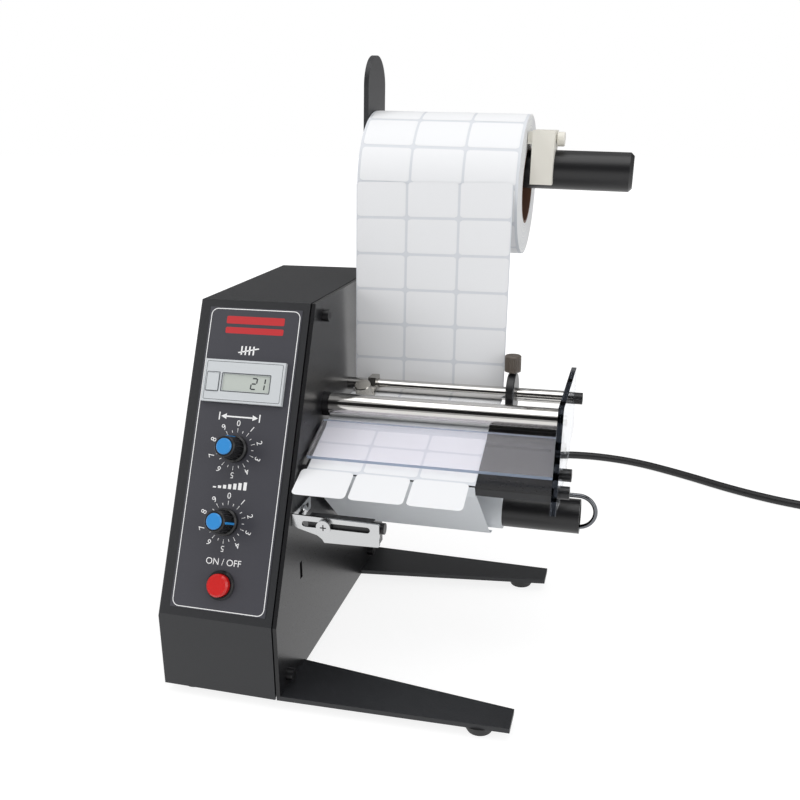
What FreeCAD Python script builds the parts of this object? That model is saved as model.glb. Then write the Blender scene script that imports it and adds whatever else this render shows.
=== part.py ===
import FreeCAD, Part
import math
import os
import Sketcher

# Benchtop label dispenser. X runs to the right along the rollers, Y to the back, Z up.
# X = 0 is the outer face of the side plate, Y = 0 the front of the case, Z = 0 the bench.

DOC = FreeCAD.newDocument("LabelDispenser")
SHEET = DOC.addObject("Spreadsheet::Sheet", "Sizes")

SIZES = {
    # Case and side plate
    "foot_height": 6.0,
    "case_height": 203.5,
    "case_depth": 201.0,
    "lip_height": 44.5,
    "panel_depth": 78.5,
    "cover_width": 66.5,
    "cover_wall": 1.2,
    "cover_gap": 0.8,
    "plate_wall": 2.2,
    "bend_radius": 2.0,
    # Legs
    "leg_reach": 124.5,
    "leg_wall": 2.7,
    "leg_root": 37.0,
    "leg_tip": 17.0,
    "leg_taper": 3.5,
    "rear_leg_edge": 17.0,
    "leg_tab": 22.0,
    "foot_radius": 10.0,
    "foot_tip_radius": 6.75,
    # Control panel
    "overlay_wall": 0.3,
    "overlay_margin": 6.6,
    "overlay_bottom": 4.5,
    "overlay_length": 168.5,
    "counter_wide": 48.0,
    "counter_tall": 24.0,
    "counter_proud": 3.0,
    "counter_deep": 22.0,
    "counter_place": 130.3,
    "window_wide": 28.3,
    "window_tall": 9.6,
    "reset_wide": 6.9,
    "reset_tall": 9.8,
    "knob_across": 33.0,
    "length_knob_place": 92.9,
    "speed_knob_place": 52.7,
    "knob_radius": 7.5,
    "knob_height": 14.5,
    "cap_radius": 4.4,
    "shaft_radius": 3.0,
    "power_place": 18.8,
    "power_across": 34.7,
    "power_radius": 6.2,
    "power_bezel_radius": 8.0,
    # Supply arm and roll
    "arm_wall": 3.0,
    "arm_wide": 36.5,
    "arm_edge": 0.3,
    "arm_bottom": 120.0,
    "arm_bend": 190.0,
    "arm_top": 344.0,
    "arm_lean": 1.74,
    "tube_radius": 11.5,
    "tube_height": 279.9,
    "tube_reach": 162.0,
    "roll_radius": 41.5,
    "roll_start": 3.4,
    "roll_width": 96.3,
    "core_radius": 21.5,
    "core_wall": 1.5,
    "clip_wall": 4.5,
    "clip_width": 13.0,
    # Web and labels
    "web_wall": 0.3,
    "web_start": 3.2,
    "web_width": 94.0,
    "label_wide": 30.0,
    "label_tall": 20.0,
    "label_pitch": 31.7,
    # Rollers
    "rod_radius": 4.0,
    "rod_across": 132.6,
    "rod_height": 148.0,
    "roller_across": 87.5,
    "pressure_radius": 6.7,
    "pressure_height": 148.6,
    "drive_radius": 8.5,
    "nip_gap": 0.7,
    "end_plate_start": 137.0,
    "end_plate_wall": 3.0,
    "roller_start": 4.0,
    "journal_radius": 3.0,
    "running_gap": 0.05,
    # Feed table and cover
    "peel_across": 44.6,
    "peel_height": 123.0,
    "table_slope": 21.3,
    "table_run": 36.8,
    "table_wall": 1.2,
    "table_width": 112.0,
    "cover_lift": 2.4,
    "glass_wall": 2.0,
    # Rewind
    "rewind_across": 106.0,
    "rewind_height": 84.3,
    "rewind_radius": 10.1,
    "rewind_reach": 148.6,
    "liner_radius": 11.65,
    "liner_width": 102.5,
    "wire_radius": 1.3,
    # Label sensor
    "bracket_wall": 1.2,
    "bracket_front": 28.0,
    "bracket_reach": 49.4,
    "bracket_top": 104.5,
    "bracket_bottom": 89.6,
    # Fasteners
    "screw_radius": 3.5,
    "screw_head": 4.0,
    "screw_shank": 2.0,
    # Power cord
    "cord_radius": 3.4,
    "cord_exit": 26.0,
}


class Dim:
    """A number together with the sheet formula that gives it."""

    def __init__(self, value, text):
        self.value = float(value)
        self.text = text

    def __add__(self, other):
        other = dim(other)
        return Dim(self.value + other.value, "(%s + %s)" % (self.text, other.text))

    def __radd__(self, other):
        return dim(other) + self

    def __sub__(self, other):
        other = dim(other)
        return Dim(self.value - other.value, "(%s - %s)" % (self.text, other.text))

    def __rsub__(self, other):
        return dim(other) - self

    def __mul__(self, other):
        other = dim(other)
        return Dim(self.value * other.value, "(%s * %s)" % (self.text, other.text))

    def __rmul__(self, other):
        return dim(other) * self

    def __truediv__(self, other):
        other = dim(other)
        return Dim(self.value / other.value, "(%s / %s)" % (self.text, other.text))

    def __neg__(self):
        return dim(0) - self


def dim(value):
    """A plain number as a Dim."""
    if isinstance(value, Dim):
        return value
    return Dim(value, "(%.6f)" % value)


def sine(angle):
    return Dim(math.sin(math.radians(angle.value)), "sin(%s)" % angle.text)


def cosine(angle):
    return Dim(math.cos(math.radians(angle.value)), "cos(%s)" % angle.text)


def tangent(angle):
    return sine(angle) / cosine(angle)


class Sheet:
    """The driving sizes, each a Dim by its alias."""


S = Sheet()
for row, (alias, number) in enumerate(SIZES.items(), start=1):
    SHEET.set("A%d" % row, alias)
    SHEET.set("B%d" % row, str(number))
    SHEET.setAlias("B%d" % row, alias)
    setattr(S, alias, Dim(number, "Sizes." + alias))
DOC.recompute()

S.arm_middle = S.case_depth - S.arm_edge - S.arm_wide / 2
S.rear_leg_place = S.case_depth - S.rear_leg_edge - S.leg_root
PARTS = []


def vector(x, y, z=0.0):
    return FreeCAD.Vector(dim(x).value, dim(y).value, dim(z).value)


def place(item, at, axis=(1, 0, 0), angle=0):
    """Bind an object's placement to the sheet."""
    turn = FreeCAD.Rotation(FreeCAD.Vector(*axis), dim(angle).value)
    item.Placement = FreeCAD.Placement(vector(*at), turn)
    for letter, value in zip("xyz", at):
        item.setExpression("Placement.Base." + letter, dim(value).text)
    if dim(angle).value:
        item.setExpression("Placement.Rotation.Angle", dim(angle).text)


def body(label, at=(0, 0, 0), axis=(1, 0, 0), angle=0):
    item = DOC.addObject("PartDesign::Body", "Body_" + label)
    item.Label = label
    place(item, at, axis, angle)
    PARTS.append(item)
    return item


def sketch(owner, role):
    """An empty sketch on one of the body's own planes."""
    item = owner.newObject("Sketcher::SketchObject", "Sketch_" + owner.Label)
    support = [plane for plane in owner.Origin.OriginFeatures if plane.Role == role][0]
    item.AttachmentSupport = (support, [""])
    item.MapMode = "FlatFace"
    return item


def polygon(item, corners):
    """A closed outline whose corners are bound to the sheet."""
    first = item.GeometryCount
    count = len(corners)
    for index in range(count):
        start = vector(*corners[index])
        end = vector(*corners[(index + 1) % count])
        item.addGeometry(Part.LineSegment(start, end), False)
    for index in range(count):
        after = first + (index + 1) % count
        item.addConstraint(Sketcher.Constraint("Coincident", first + index, 2, after, 1))
    for index, (u, v) in enumerate(corners):
        for kind, value in (("DistanceX", dim(u)), ("DistanceY", dim(v))):
            made = item.addConstraint(Sketcher.Constraint(kind, first + index, 1, value.value))
            item.setExpression("Constraints[%d]" % made, value.text)


def circle(item, u, v, radius):
    """A circle whose centre and radius are bound to the sheet."""
    ring = Part.Circle(vector(u, v), FreeCAD.Vector(0, 0, 1), dim(radius).value)
    index = item.addGeometry(ring, False)
    for kind, value in (("DistanceX", dim(u)), ("DistanceY", dim(v))):
        made = item.addConstraint(Sketcher.Constraint(kind, index, 3, value.value))
        item.setExpression("Constraints[%d]" % made, value.text)
    made = item.addConstraint(Sketcher.Constraint("Radius", index, dim(radius).value))
    item.setExpression("Constraints[%d]" % made, dim(radius).text)


def rectangle(low_u, low_v, high_u, high_v):
    return [(low_u, low_v), (high_u, low_v), (high_u, high_v), (low_u, high_v)]


def pad(owner, item, length, back=False):
    feature = owner.newObject("PartDesign::Pad", "Pad_" + owner.Label)
    feature.Profile = item
    feature.Length = dim(length).value
    feature.setExpression("Length", dim(length).text)
    feature.Reversed = back
    DOC.recompute()
    return feature


def cut(owner, item, length, back=False):
    """A pocket that has to take material away."""
    before = owner.Shape.Volume
    feature = owner.newObject("PartDesign::Pocket", "Pocket_" + owner.Label)
    feature.Profile = item
    feature.Length = dim(length).value
    feature.setExpression("Length", dim(length).text)
    feature.Reversed = back
    DOC.recompute()
    if owner.Shape.Volume >= before:
        raise RuntimeError("a pocket cuts nothing in " + owner.Label)
    return feature


def draw(owner, role, outlines, circles=()):
    item = sketch(owner, role)
    for corners in outlines:
        polygon(item, corners)
    for u, v, radius in circles:
        circle(item, u, v, radius)
    return item


def profile_x(label, outlines, start, length, circles=(), at=(0, 0, 0), axis=(1, 0, 0), angle=0):
    """A piece with one outline in Y and Z, drawn out along X from start."""
    spin = FreeCAD.Rotation(FreeCAD.Vector(*axis), dim(angle).value)
    item = body(label, at, axis, angle)
    if not dim(angle).value and not spin.Angle:
        place(item, (dim(at[0]) + start, at[1], at[2]))
    pad(item, draw(item, "YZ_Plane", outlines, circles), length)
    return item


def turned(label, half, at=(0, 0, 0), axis=(1, 0, 0), angle=0):
    """A piece turned about its own X axis from a half section of (x, radius) points."""
    item = body(label, at, axis, angle)
    add_turned(item, half)
    return item


def add_turned(item, half):
    section = draw(item, "XY_Plane", [half])
    feature = item.newObject("PartDesign::Revolution", "Turn_" + item.Label)
    feature.Profile = section
    feature.ReferenceAxis = (section, ["H_Axis"])
    feature.Angle = 360
    DOC.recompute()
    return feature


def box(label, low, size, at=(0, 0, 0), axis=(1, 0, 0), angle=0):
    """A block with its low corner and its three sizes."""
    item = body(label, at, axis, angle)
    outline = rectangle(low[1], low[2], dim(low[1]) + size[1], dim(low[2]) + size[2])
    if not dim(angle).value:
        place(item, (dim(at[0]) + low[0], at[1], at[2]))
    pad(item, draw(item, "YZ_Plane", [outline]), size[0])
    return item


def group(label, solids):
    """Several like solids in one node."""
    item = DOC.addObject("Part::Feature", "Group_" + label)
    item.Label = label
    item.Shape = Part.makeCompound(solids)
    PARTS.append(item)
    return item


def rod(start, length, radius, direction=(1, 0, 0)):
    """A plain round solid for the groups of fasteners."""
    return Part.makeCylinder(dim(radius).value, dim(length).value, vector(*start), vector(*direction))


def round_edges(owner, radius, test):
    """Round the edges whose two ends pass a test."""
    base = owner.Tip
    names = []
    for index, edge in enumerate(owner.Shape.Edges, start=1):
        if len(edge.Vertexes) == 2 and all(test(corner.Point) for corner in edge.Vertexes):
            names.append("Edge%d" % index)
    feature = owner.newObject("PartDesign::Fillet", "Fillet_" + owner.Label)
    feature.Base = (base, names)
    feature.Radius = dim(radius).value
    feature.setExpression("Radius", dim(radius).text)
    DOC.recompute()
    return feature


# Case: the side plate carries everything, a folded cover closes the works behind it
FLOOR = S.foot_height
KNEE = FLOOR + S.lip_height
ROOF = FLOOR + S.case_height
RISE = S.case_height - S.lip_height
SLOPE = Dim(math.degrees(math.atan2(S.panel_depth.value, RISE.value)),
            "(atan2(%s; %s) / 1 deg)" % (S.panel_depth.text, RISE.text))
PLATE_IN = -S.plate_wall
COVER_OUT = -(S.plate_wall + S.cover_gap + S.cover_width)
CASE_OUTLINE = [(0, FLOOR), (S.case_depth, FLOOR), (S.case_depth, ROOF), (S.panel_depth, ROOF), (0, KNEE)]
SCREW_PLACES = [
    (12.0, 9.3),
    (90.3, S.case_height - 9.0),
    (S.case_depth - 9.0, 84.0),
    (S.rear_leg_place + S.leg_root / 2, 9.3),
]
BUSH_RADIUS = S.journal_radius + 3.0
DRIVE_AXIS = S.pressure_height - S.pressure_radius - S.nip_gap - S.drive_radius


def notch(root):
    """The step in the side plate's lower edge where a leg passes through, from back to front."""
    top = FLOOR + S.leg_wall + 0.1
    return [(root + S.leg_root + 0.1, FLOOR), (root + S.leg_root + 0.1, top), (root - 0.1, top),
            (root - 0.1, FLOOR)]


def side_plate():
    item = body("side_plate", (PLATE_IN, 0, 0))
    holes = [(y, FLOOR + z, S.screw_shank + 0.15) for y, z in SCREW_PLACES]
    holes.append((S.rod_across, S.rod_height, S.rod_radius - 1.0 + S.running_gap))
    holes.append((S.roller_across, DRIVE_AXIS, BUSH_RADIUS))
    holes.append((S.roller_across, S.pressure_height, S.journal_radius + S.running_gap))
    holes.append((S.rewind_across, S.rewind_height, BUSH_RADIUS))
    slot = rectangle(36.8, 60.5, 40.2, 70.5)
    front = notch(0)[1:2] + [(0, FLOOR + S.leg_wall + 0.1)]
    outline = [(S.leg_root + 0.1, FLOOR)] + front + [(0, KNEE), (S.panel_depth, ROOF), (S.case_depth, ROOF)]
    outline += [(S.case_depth, FLOOR)] + notch(S.rear_leg_place)
    pad(item, draw(item, "YZ_Plane", [outline, slot], holes), S.plate_wall)


def housing_cover():
    item = body("housing_cover", (COVER_OUT, 0, 0))
    pad(item, draw(item, "YZ_Plane", [CASE_OUTLINE]), S.cover_width)
    wall = S.cover_wall
    inner_roof = ROOF - wall
    lean = tangent(SLOPE)
    knee = KNEE - wall * (1 - cosine(SLOPE)) / sine(SLOPE)
    ridge = wall / cosine(SLOPE) + (inner_roof - KNEE) * lean
    inner = [(wall, FLOOR - 1), (S.case_depth - wall, FLOOR - 1), (S.case_depth - wall, inner_roof),
             (ridge, inner_roof), (wall, knee)]
    hollow = draw(item, "YZ_Plane", [inner])
    hollow.AttachmentOffset = FreeCAD.Placement(vector(0, 0, wall), FreeCAD.Rotation())
    hollow.setExpression("AttachmentOffset.Base.z", wall.text)
    cut(item, hollow, S.cover_width, back=True)
    holes = [
        (S.knob_across, S.length_knob_place, 4.0),
        (S.knob_across, S.speed_knob_place, 4.0),
        (S.power_across, S.power_place, S.power_radius + 0.3),
    ]
    panel = draw(item, "XY_Plane", [], holes)
    panel.AttachmentOffset = FreeCAD.Placement(vector(0, 0, KNEE), FreeCAD.Rotation(FreeCAD.Vector(1, 0, 0),
                                                                                   90 - SLOPE.value))
    panel.setExpression("AttachmentOffset.Base.z", KNEE.text)
    panel.setExpression("AttachmentOffset.Rotation.Angle", (90 - SLOPE).text)
    cut(item, panel, S.cover_wall + 1)

    def outer(corner):
        return abs(corner.x - COVER_OUT.value) < 1e-6 and corner.z > FLOOR.value + 1

    round_edges(item, S.bend_radius / 2, outer)


def bottom_plate():
    low = (COVER_OUT + S.cover_wall, S.cover_wall, FLOOR)
    size = (S.cover_width - S.cover_wall - S.leg_wall, S.case_depth - 2 * S.cover_wall, S.cover_wall)
    box("bottom_plate", low, size)


def leg(label, root, tip, screw):
    """A flat foot that runs out to the right, with a tab bent up behind the side plate."""
    item = body(label, (0, 0, FLOOR))
    outline = [(PLATE_IN, root), (S.leg_reach, tip), (S.leg_reach, tip + S.leg_tip), (PLATE_IN, root + S.leg_root)]
    pad(item, draw(item, "XY_Plane", [outline]), S.leg_wall)
    rear = PLATE_IN - S.leg_wall
    tab = draw(item, "XY_Plane", [rectangle(rear, root + 3, PLATE_IN, root + S.leg_root - 3)])
    pad(item, tab, S.leg_tab)
    y, z = screw
    hole = draw(item, "YZ_Plane", [], [(y, z, S.screw_shank + 0.15)])
    cut(item, hole, 2 * S.leg_wall + S.plate_wall)


def rubber_feet():
    places = [
        (S.leg_reach - 17, S.leg_taper + S.leg_tip / 2),
        (S.leg_reach - 17, S.rear_leg_place + S.leg_root - S.leg_taper - S.leg_tip / 2),
        (COVER_OUT + 12, dim(14)),
        (COVER_OUT + 12, S.case_depth - 14),
    ]
    solids = []
    for x, y in places:
        foot = Part.makeCone(S.foot_tip_radius.value, S.foot_radius.value, FLOOR.value, vector(x, y, 0))
        solids.append(foot)
    group("rubber_feet", solids)


def plate_screws():
    solids = []
    for y, z in SCREW_PLACES:
        head = rod((0, y, FLOOR + z), S.screw_head, S.screw_radius)
        shank = rod((PLATE_IN - 8, y, FLOOR + z), 8 + S.plate_wall, S.screw_shank)
        socket = Part.makeCylinder(1.6, 2.2, vector(S.screw_head - 2.2, y, FLOOR + z), vector(1, 0, 0))
        solids.append(head.fuse(shank).cut(socket))
    return solids


# Control panel: everything on it stands square on the sloping front
PANEL_TURN = 90 - SLOPE
FLUTE_RADIUS = dim(0.9)
PANEL_LENGTH = RISE / cosine(SLOPE)


def on_panel(across, along, proud=0):
    """A point on the panel: across from its left edge, along the slope from the knee."""
    y = dim(along) * sine(SLOPE) - dim(proud) * cosine(SLOPE)
    z = KNEE + dim(along) * cosine(SLOPE) + dim(proud) * sine(SLOPE)
    return (COVER_OUT + across, y, z)


def panel_body(label, across, along, proud=0):
    """A body whose XY plane is the panel and whose Z axis points out of it."""
    return body(label, on_panel(across, along, proud), (1, 0, 0), PANEL_TURN)


def panel_turned(label, across, along, half, proud=0):
    """A piece turned about the panel's normal from a half section of (radius, height) points."""
    item = panel_body(label, across, along, proud)
    section = draw(item, "XZ_Plane", [half])
    feature = item.newObject("PartDesign::Revolution", "Turn_" + label)
    feature.Profile = section
    feature.ReferenceAxis = (section, ["V_Axis"])
    feature.Angle = 360
    DOC.recompute()
    return item


def panel_overlay():
    item = panel_body("panel_overlay", 0, 0)
    width = S.cover_width
    frame = rectangle(S.overlay_margin, S.overlay_bottom, width - 4, S.overlay_bottom + S.overlay_length)
    low = S.counter_place - S.counter_tall / 2
    left = S.knob_across + 0.5 - S.counter_wide / 2
    gap = S.cover_gap / 4
    window = rectangle(left - gap, low - gap, left + S.counter_wide + gap, low + S.counter_tall + gap)
    holes = [
        (S.knob_across, S.length_knob_place, S.shaft_radius + 1),
        (S.knob_across, S.speed_knob_place, S.shaft_radius + 1),
        (S.power_across, S.power_place, S.power_radius + 0.3),
    ]
    pad(item, draw(item, "XY_Plane", [frame, window], holes), S.overlay_wall)


def counter_parts():
    left = S.knob_across + 0.5 - S.counter_wide / 2
    low = S.counter_place - S.counter_tall / 2
    item = panel_body("counter_body", left, low)
    pad(item, draw(item, "XY_Plane", [rectangle(0, 0, S.counter_wide, S.counter_tall)]), S.counter_proud)
    window = rectangle(11.5, 6.5, 11.5 + S.window_wide, 6.5 + S.window_tall)
    cut(item, draw(item, "XY_Plane", [window]), S.counter_proud + 1, back=True)
    button = rectangle(2.2, 6.0, 2.4 + S.reset_wide + 0.2, 6.4 + S.reset_tall)
    cut(item, draw(item, "XY_Plane", [button]), S.counter_proud + 1, back=True)
    glass = panel_body("counter_window", left + 11.5, low + 6.5)
    pad(glass, draw(glass, "XY_Plane", [rectangle(0, 0, S.window_wide, S.window_tall)]), S.counter_proud - 0.8)
    key = panel_body("reset_button", left + 2.4, low + 6.2, proud=1.4)
    pad(key, draw(key, "XY_Plane", [rectangle(0, 0, S.reset_wide, S.reset_tall)]), S.counter_proud - 0.8)


def flutes(item, at, radius, count, low, height):
    """Grooves round a piece: one round pocket repeated about the Z axis."""
    groove = draw(item, "XY_Plane", [], [(at, 0, radius)])
    groove.AttachmentOffset = FreeCAD.Placement(vector(0, 0, low), FreeCAD.Rotation())
    groove.setExpression("AttachmentOffset.Base.z", dim(low).text)
    pocket = cut(item, groove, height, back=True)
    pattern = item.newObject("PartDesign::PolarPattern", "Pattern_" + item.Label)
    pattern.Originals = [pocket]
    pattern.Axis = (groove, ["N_Axis"])
    pattern.Angle = 360
    pattern.Occurrences = count
    item.Tip = pattern
    DOC.recompute()


def knob(label, along):
    """A fluted knob with a coloured cap, on its potentiometer's shaft."""
    item = panel_turned(label, S.knob_across, along, [
        (S.shaft_radius, 0), (S.knob_radius, 0), (S.knob_radius, 2.4), (S.knob_radius - 0.9, 3.2),
        (S.knob_radius - 1.6, S.knob_height - 0.6), (S.knob_radius - 2.2, S.knob_height),
        (S.cap_radius, S.knob_height), (S.cap_radius, S.knob_height - 2), (S.shaft_radius, S.knob_height - 2),
    ], proud=S.overlay_wall + 0.4)
    flutes(item, S.knob_radius - 0.8, FLUTE_RADIUS, 18, 3.4, S.knob_height)
    cap = panel_turned(label + "_cap", S.knob_across, along, [
        (0, 0), (S.cap_radius, 0), (S.cap_radius, 2.4), (S.cap_radius - 0.6, 3.0), (0, 3.0),
    ], proud=S.overlay_wall + 0.4 + S.knob_height - 2)
    shaft = panel_turned(label + "_shaft", S.knob_across, along, [
        (0, -10), (S.shaft_radius, -10), (S.shaft_radius, S.knob_height - 2), (0, S.knob_height - 2),
    ], proud=S.overlay_wall + 0.4)
    return item, cap, shaft


def dial_bushes():
    """The threaded necks of the two potentiometers."""
    solids = []
    for along in (S.length_knob_place, S.speed_knob_place):
        low = on_panel(S.knob_across, along, -12)
        normal = (0, -cosine(SLOPE), sine(SLOPE))
        case = rod(low, 12 - S.cover_wall, 8.0, normal)
        neck = rod(low, 12, 3.9, normal)
        bore = rod(low, 13, S.shaft_radius + S.running_gap, normal)
        solids.append(case.fuse(neck).cut(bore))
    group("dial_bushes", solids)


def power_parts():
    across, along = S.power_across, S.power_place
    panel_turned("power_bezel", across, along, [
        (S.power_radius + 0.3, 0), (S.power_bezel_radius, 0), (S.power_bezel_radius, 0.8),
        (S.power_bezel_radius - 0.8, 1.8), (S.power_radius + 0.3, 1.8),
    ], proud=S.overlay_wall)
    panel_turned("power_button", across, along, [
        (0, 0), (S.power_radius, 0), (S.power_radius, 4.0), (S.power_radius - 1, 5.0), (0, 5.0),
    ], proud=S.overlay_wall + 0.3)
    panel_turned("power_switch", across, along, [
        (0, -14), (8.5, -14), (8.5, -S.cover_wall), (S.power_radius + 0.4, -S.cover_wall),
        (S.power_radius + 0.4, -3), (0, -3),
    ])


# Supply arm: a flat bar bent outwards near the top of the case, with the tube square to it
def on_arm(x, y, height):
    """A point of the leaning group, given as if the arm stood upright."""
    up = dim(height) - S.arm_bend
    return (dim(x) * cosine(S.arm_lean) + up * sine(S.arm_lean), y,
            S.arm_bend + up * cosine(S.arm_lean) - dim(x) * sine(S.arm_lean))


def arm_turned(label, half, y, height):
    return turned(label, half, on_arm(0, y, height), (0, 1, 0), S.arm_lean)


ROLL_DROP = S.core_radius - S.tube_radius - 0.3
ROLL_HEIGHT = S.tube_height - ROLL_DROP


def supply_bar():
    item = body("supply_bar")
    low = S.arm_middle - S.arm_wide / 2
    foot = draw(item, "YZ_Plane", [rectangle(low, S.arm_bottom, low + S.arm_wide, S.arm_bend)])
    pad(item, foot, S.arm_wall)
    radius = S.arm_wide / 2
    shoulder = S.arm_top - S.arm_bend - radius
    upper = draw(item, "YZ_Plane", [rectangle(low, 0, low + S.arm_wide, shoulder)])
    tip = draw(item, "YZ_Plane", [], [(S.arm_middle, shoulder, radius)])
    for section in (upper, tip):
        lean = FreeCAD.Rotation(FreeCAD.Vector(1, 0, 0), S.arm_lean.value)
        section.AttachmentOffset = FreeCAD.Placement(vector(0, S.arm_bend, 0), lean)
        section.setExpression("AttachmentOffset.Base.y", S.arm_bend.text)
        section.setExpression("AttachmentOffset.Rotation.Angle", S.arm_lean.text)
        pad(item, section, S.arm_wall)


def supply_parts():
    end = S.tube_radius
    arm_turned("supply_tube", [
        (S.arm_wall, 0), (S.arm_wall, end), (S.tube_reach - 2, end), (S.tube_reach, end - 2), (S.tube_reach, 0),
    ], S.arm_middle, S.tube_height)
    arm_turned("label_roll", [
        (S.roll_start, S.core_radius + S.core_wall), (S.roll_start, S.roll_radius),
        (S.roll_start + S.roll_width, S.roll_radius), (S.roll_start + S.roll_width, S.core_radius + S.core_wall),
    ], S.arm_middle, ROLL_HEIGHT)
    arm_turned("roll_core", [
        (S.roll_start, S.core_radius), (S.roll_start, S.core_radius + S.core_wall),
        (S.roll_start + S.roll_width, S.core_radius + S.core_wall), (S.roll_start + S.roll_width, S.core_radius),
    ], S.arm_middle, ROLL_HEIGHT)


def arm_screws():
    return [rod((S.arm_wall, S.arm_middle, S.arm_bottom + rise), S.screw_head, S.screw_radius)
            for rise in (12, 52)]


def roll_clip():
    """A block that hooks over the front of the tube, with a nose that stops the roll and a clamping screw."""
    start = S.roll_start + S.roll_width + 3.2
    item = body("roll_clip", on_arm(start, S.arm_middle, S.tube_height), (0, 1, 0), S.arm_lean)
    inner = S.tube_radius + 0.15
    front = -inner - S.clip_wall
    top = 2 * S.tube_radius
    block = [(front, -8.0), (front + 5.0, -8.0), (6.0, -2.0), (6.0, top), (front, top)]
    pad(item, draw(item, "YZ_Plane", [block]), S.clip_width)
    cut(item, draw(item, "YZ_Plane", [], [(0, 0, inner)]), S.clip_width, back=True)
    nose = draw(item, "YZ_Plane", [rectangle(front + 2, top - 8, 2, top - 1)])
    pad(item, nose, 2.9, back=True)
    head = draw_screw("clip_screw", start + S.clip_width, top - 5)
    return item, head


def draw_screw(label, start, rise):
    """The knurled head of the clamping screw on the clip's right face."""
    return turned(label, [
        (0, 0), (0, 2.0), (0.8, 2.0), (0.8, 4.2), (4.6, 4.2), (5.0, 3.8), (5.0, 0),
    ], on_arm(start, S.arm_middle - 4, S.tube_height + rise), (0, 1, 0), S.arm_lean)


# Rollers and guide rod
def bushes():
    """Flanged bushes in the side plate for the two driven shafts."""
    solids = []
    for y, z in ((S.roller_across, DRIVE_AXIS), (S.rewind_across, S.rewind_height)):
        flange = rod((PLATE_IN - 1.5, y, z), 1.5, BUSH_RADIUS + 2)
        sleeve = rod((PLATE_IN, y, z), S.plate_wall + 0.6, BUSH_RADIUS)
        bore = rod((PLATE_IN - 2, y, z), 8, S.journal_radius + S.running_gap)
        solids.append(flange.fuse(sleeve).cut(bore))
    at = (0, S.roller_across, S.pressure_height)
    ring = rod(at, S.roller_start - 0.4, S.pressure_radius + 0.3)
    solids.append(ring.cut(rod(at, S.roller_start, S.journal_radius + S.running_gap)))
    group("shaft_bushes", solids)


def roller_parts():
    stop = S.end_plate_start
    out = stop + S.end_plate_wall
    neck = S.rod_radius - 1
    turned("guide_rod", [
        (PLATE_IN, 0), (PLATE_IN, neck), (0, neck), (0, S.rod_radius), (stop, S.rod_radius),
        (stop, neck), (out, neck), (out, 0),
    ], (0, S.rod_across, S.rod_height))
    turned("pressure_roller", [
        (PLATE_IN, 0), (PLATE_IN, S.journal_radius), (S.roller_start, S.journal_radius),
        (S.roller_start, S.pressure_radius), (stop - 1.5, S.pressure_radius), (stop - 1.5, S.journal_radius),
        (out, S.journal_radius), (out, 0),
    ], (0, S.roller_across, S.pressure_height))
    turned("drive_roller", [
        (S.roller_start, S.journal_radius), (S.roller_start, S.drive_radius), (stop - 1.5, S.drive_radius),
        (stop - 1.5, S.journal_radius),
    ], (0, S.roller_across, DRIVE_AXIS))
    turned("drive_shaft", [
        (PLATE_IN - 22, 0), (PLATE_IN - 22, S.journal_radius), (out, S.journal_radius), (out, 0),
    ], (0, S.roller_across, DRIVE_AXIS))


THUMB_RADIUS = dim(4.9)
THUMB_HEIGHT = dim(10.8)
COLLAR_RADIUS = dim(13.2)
COLLAR_WIDTH = dim(4.8)


def thumb_screw(label, at, lean):
    """A knurled head on a short neck, its Z axis out of the part that it clamps."""
    screw = body(label, at, (1, 0, 0), lean)
    section = draw(screw, "XZ_Plane", [[
        (0, 0), (2.0, 0), (2.0, 1.2), (THUMB_RADIUS, 1.2), (THUMB_RADIUS, THUMB_HEIGHT - 0.5),
        (THUMB_RADIUS - 0.5, THUMB_HEIGHT), (0, THUMB_HEIGHT),
    ]])
    feature = screw.newObject("PartDesign::Revolution", "Turn_" + label)
    feature.Profile = section
    feature.ReferenceAxis = (section, ["V_Axis"])
    feature.Angle = 360
    DOC.recompute()
    flutes(screw, THUMB_RADIUS + 0.15, dim(0.4), 24, 2.2, THUMB_HEIGHT - 3.4)


LEFT_GUIDE_START = dim(14.4)
LEFT_SCREW_AHEAD = dim(20.6)
LEFT_SEAT = dim(2.6)
LEFT_SCREW_DROP = dim(3.4)
LEFT_SCREW_LEAN = dim(26.0)
RIGHT_COLLAR_START = dim(100.8)


def guide_collars():
    bore = S.rod_radius + S.running_gap
    turned("right_collar", [
        (0, bore), (0, COLLAR_RADIUS - 0.6), (0.6, COLLAR_RADIUS), (COLLAR_WIDTH - 0.6, COLLAR_RADIUS),
        (COLLAR_WIDTH, COLLAR_RADIUS - 0.6), (COLLAR_WIDTH, bore),
    ], (RIGHT_COLLAR_START, S.rod_across, S.rod_height))
    thumb_screw("right_thumb_screw", (RIGHT_COLLAR_START + COLLAR_WIDTH / 2, S.rod_across,
                                      S.rod_height + COLLAR_RADIUS), dim(0))
    item = body("left_guide", (LEFT_GUIDE_START, S.rod_across, S.rod_height))
    nose = -LEFT_SCREW_AHEAD - LEFT_SEAT
    arm = -LEFT_SCREW_DROP
    seat_rise = LEFT_SEAT * tangent(LEFT_SCREW_LEAN)
    outline = [(3.6, 3.0), (3.6, 6.0), (-5.0, 6.0), (-7.5, 1.0), (-11.0, arm), (nose + LEFT_SEAT * 2 + 1.5, arm),
               (nose + LEFT_SEAT * 2, arm + seat_rise * 2), (nose, arm), (nose, arm - 1.2), (-7.5, arm - 0.9),
               (-5.2, -1.5), (-3.0, -1.5), (-3.0, 3.0)]
    pad(item, draw(item, "YZ_Plane", [outline]), COLLAR_WIDTH)
    cut(item, draw(item, "YZ_Plane", [], [(0, 0, bore)]), COLLAR_WIDTH, back=True)
    thumb_screw("left_thumb_screw", (LEFT_GUIDE_START + COLLAR_WIDTH / 2, S.rod_across - LEFT_SCREW_AHEAD,
                                     S.rod_height - LEFT_SCREW_DROP + seat_rise + 0.05), LEFT_SCREW_LEAN)


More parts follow.
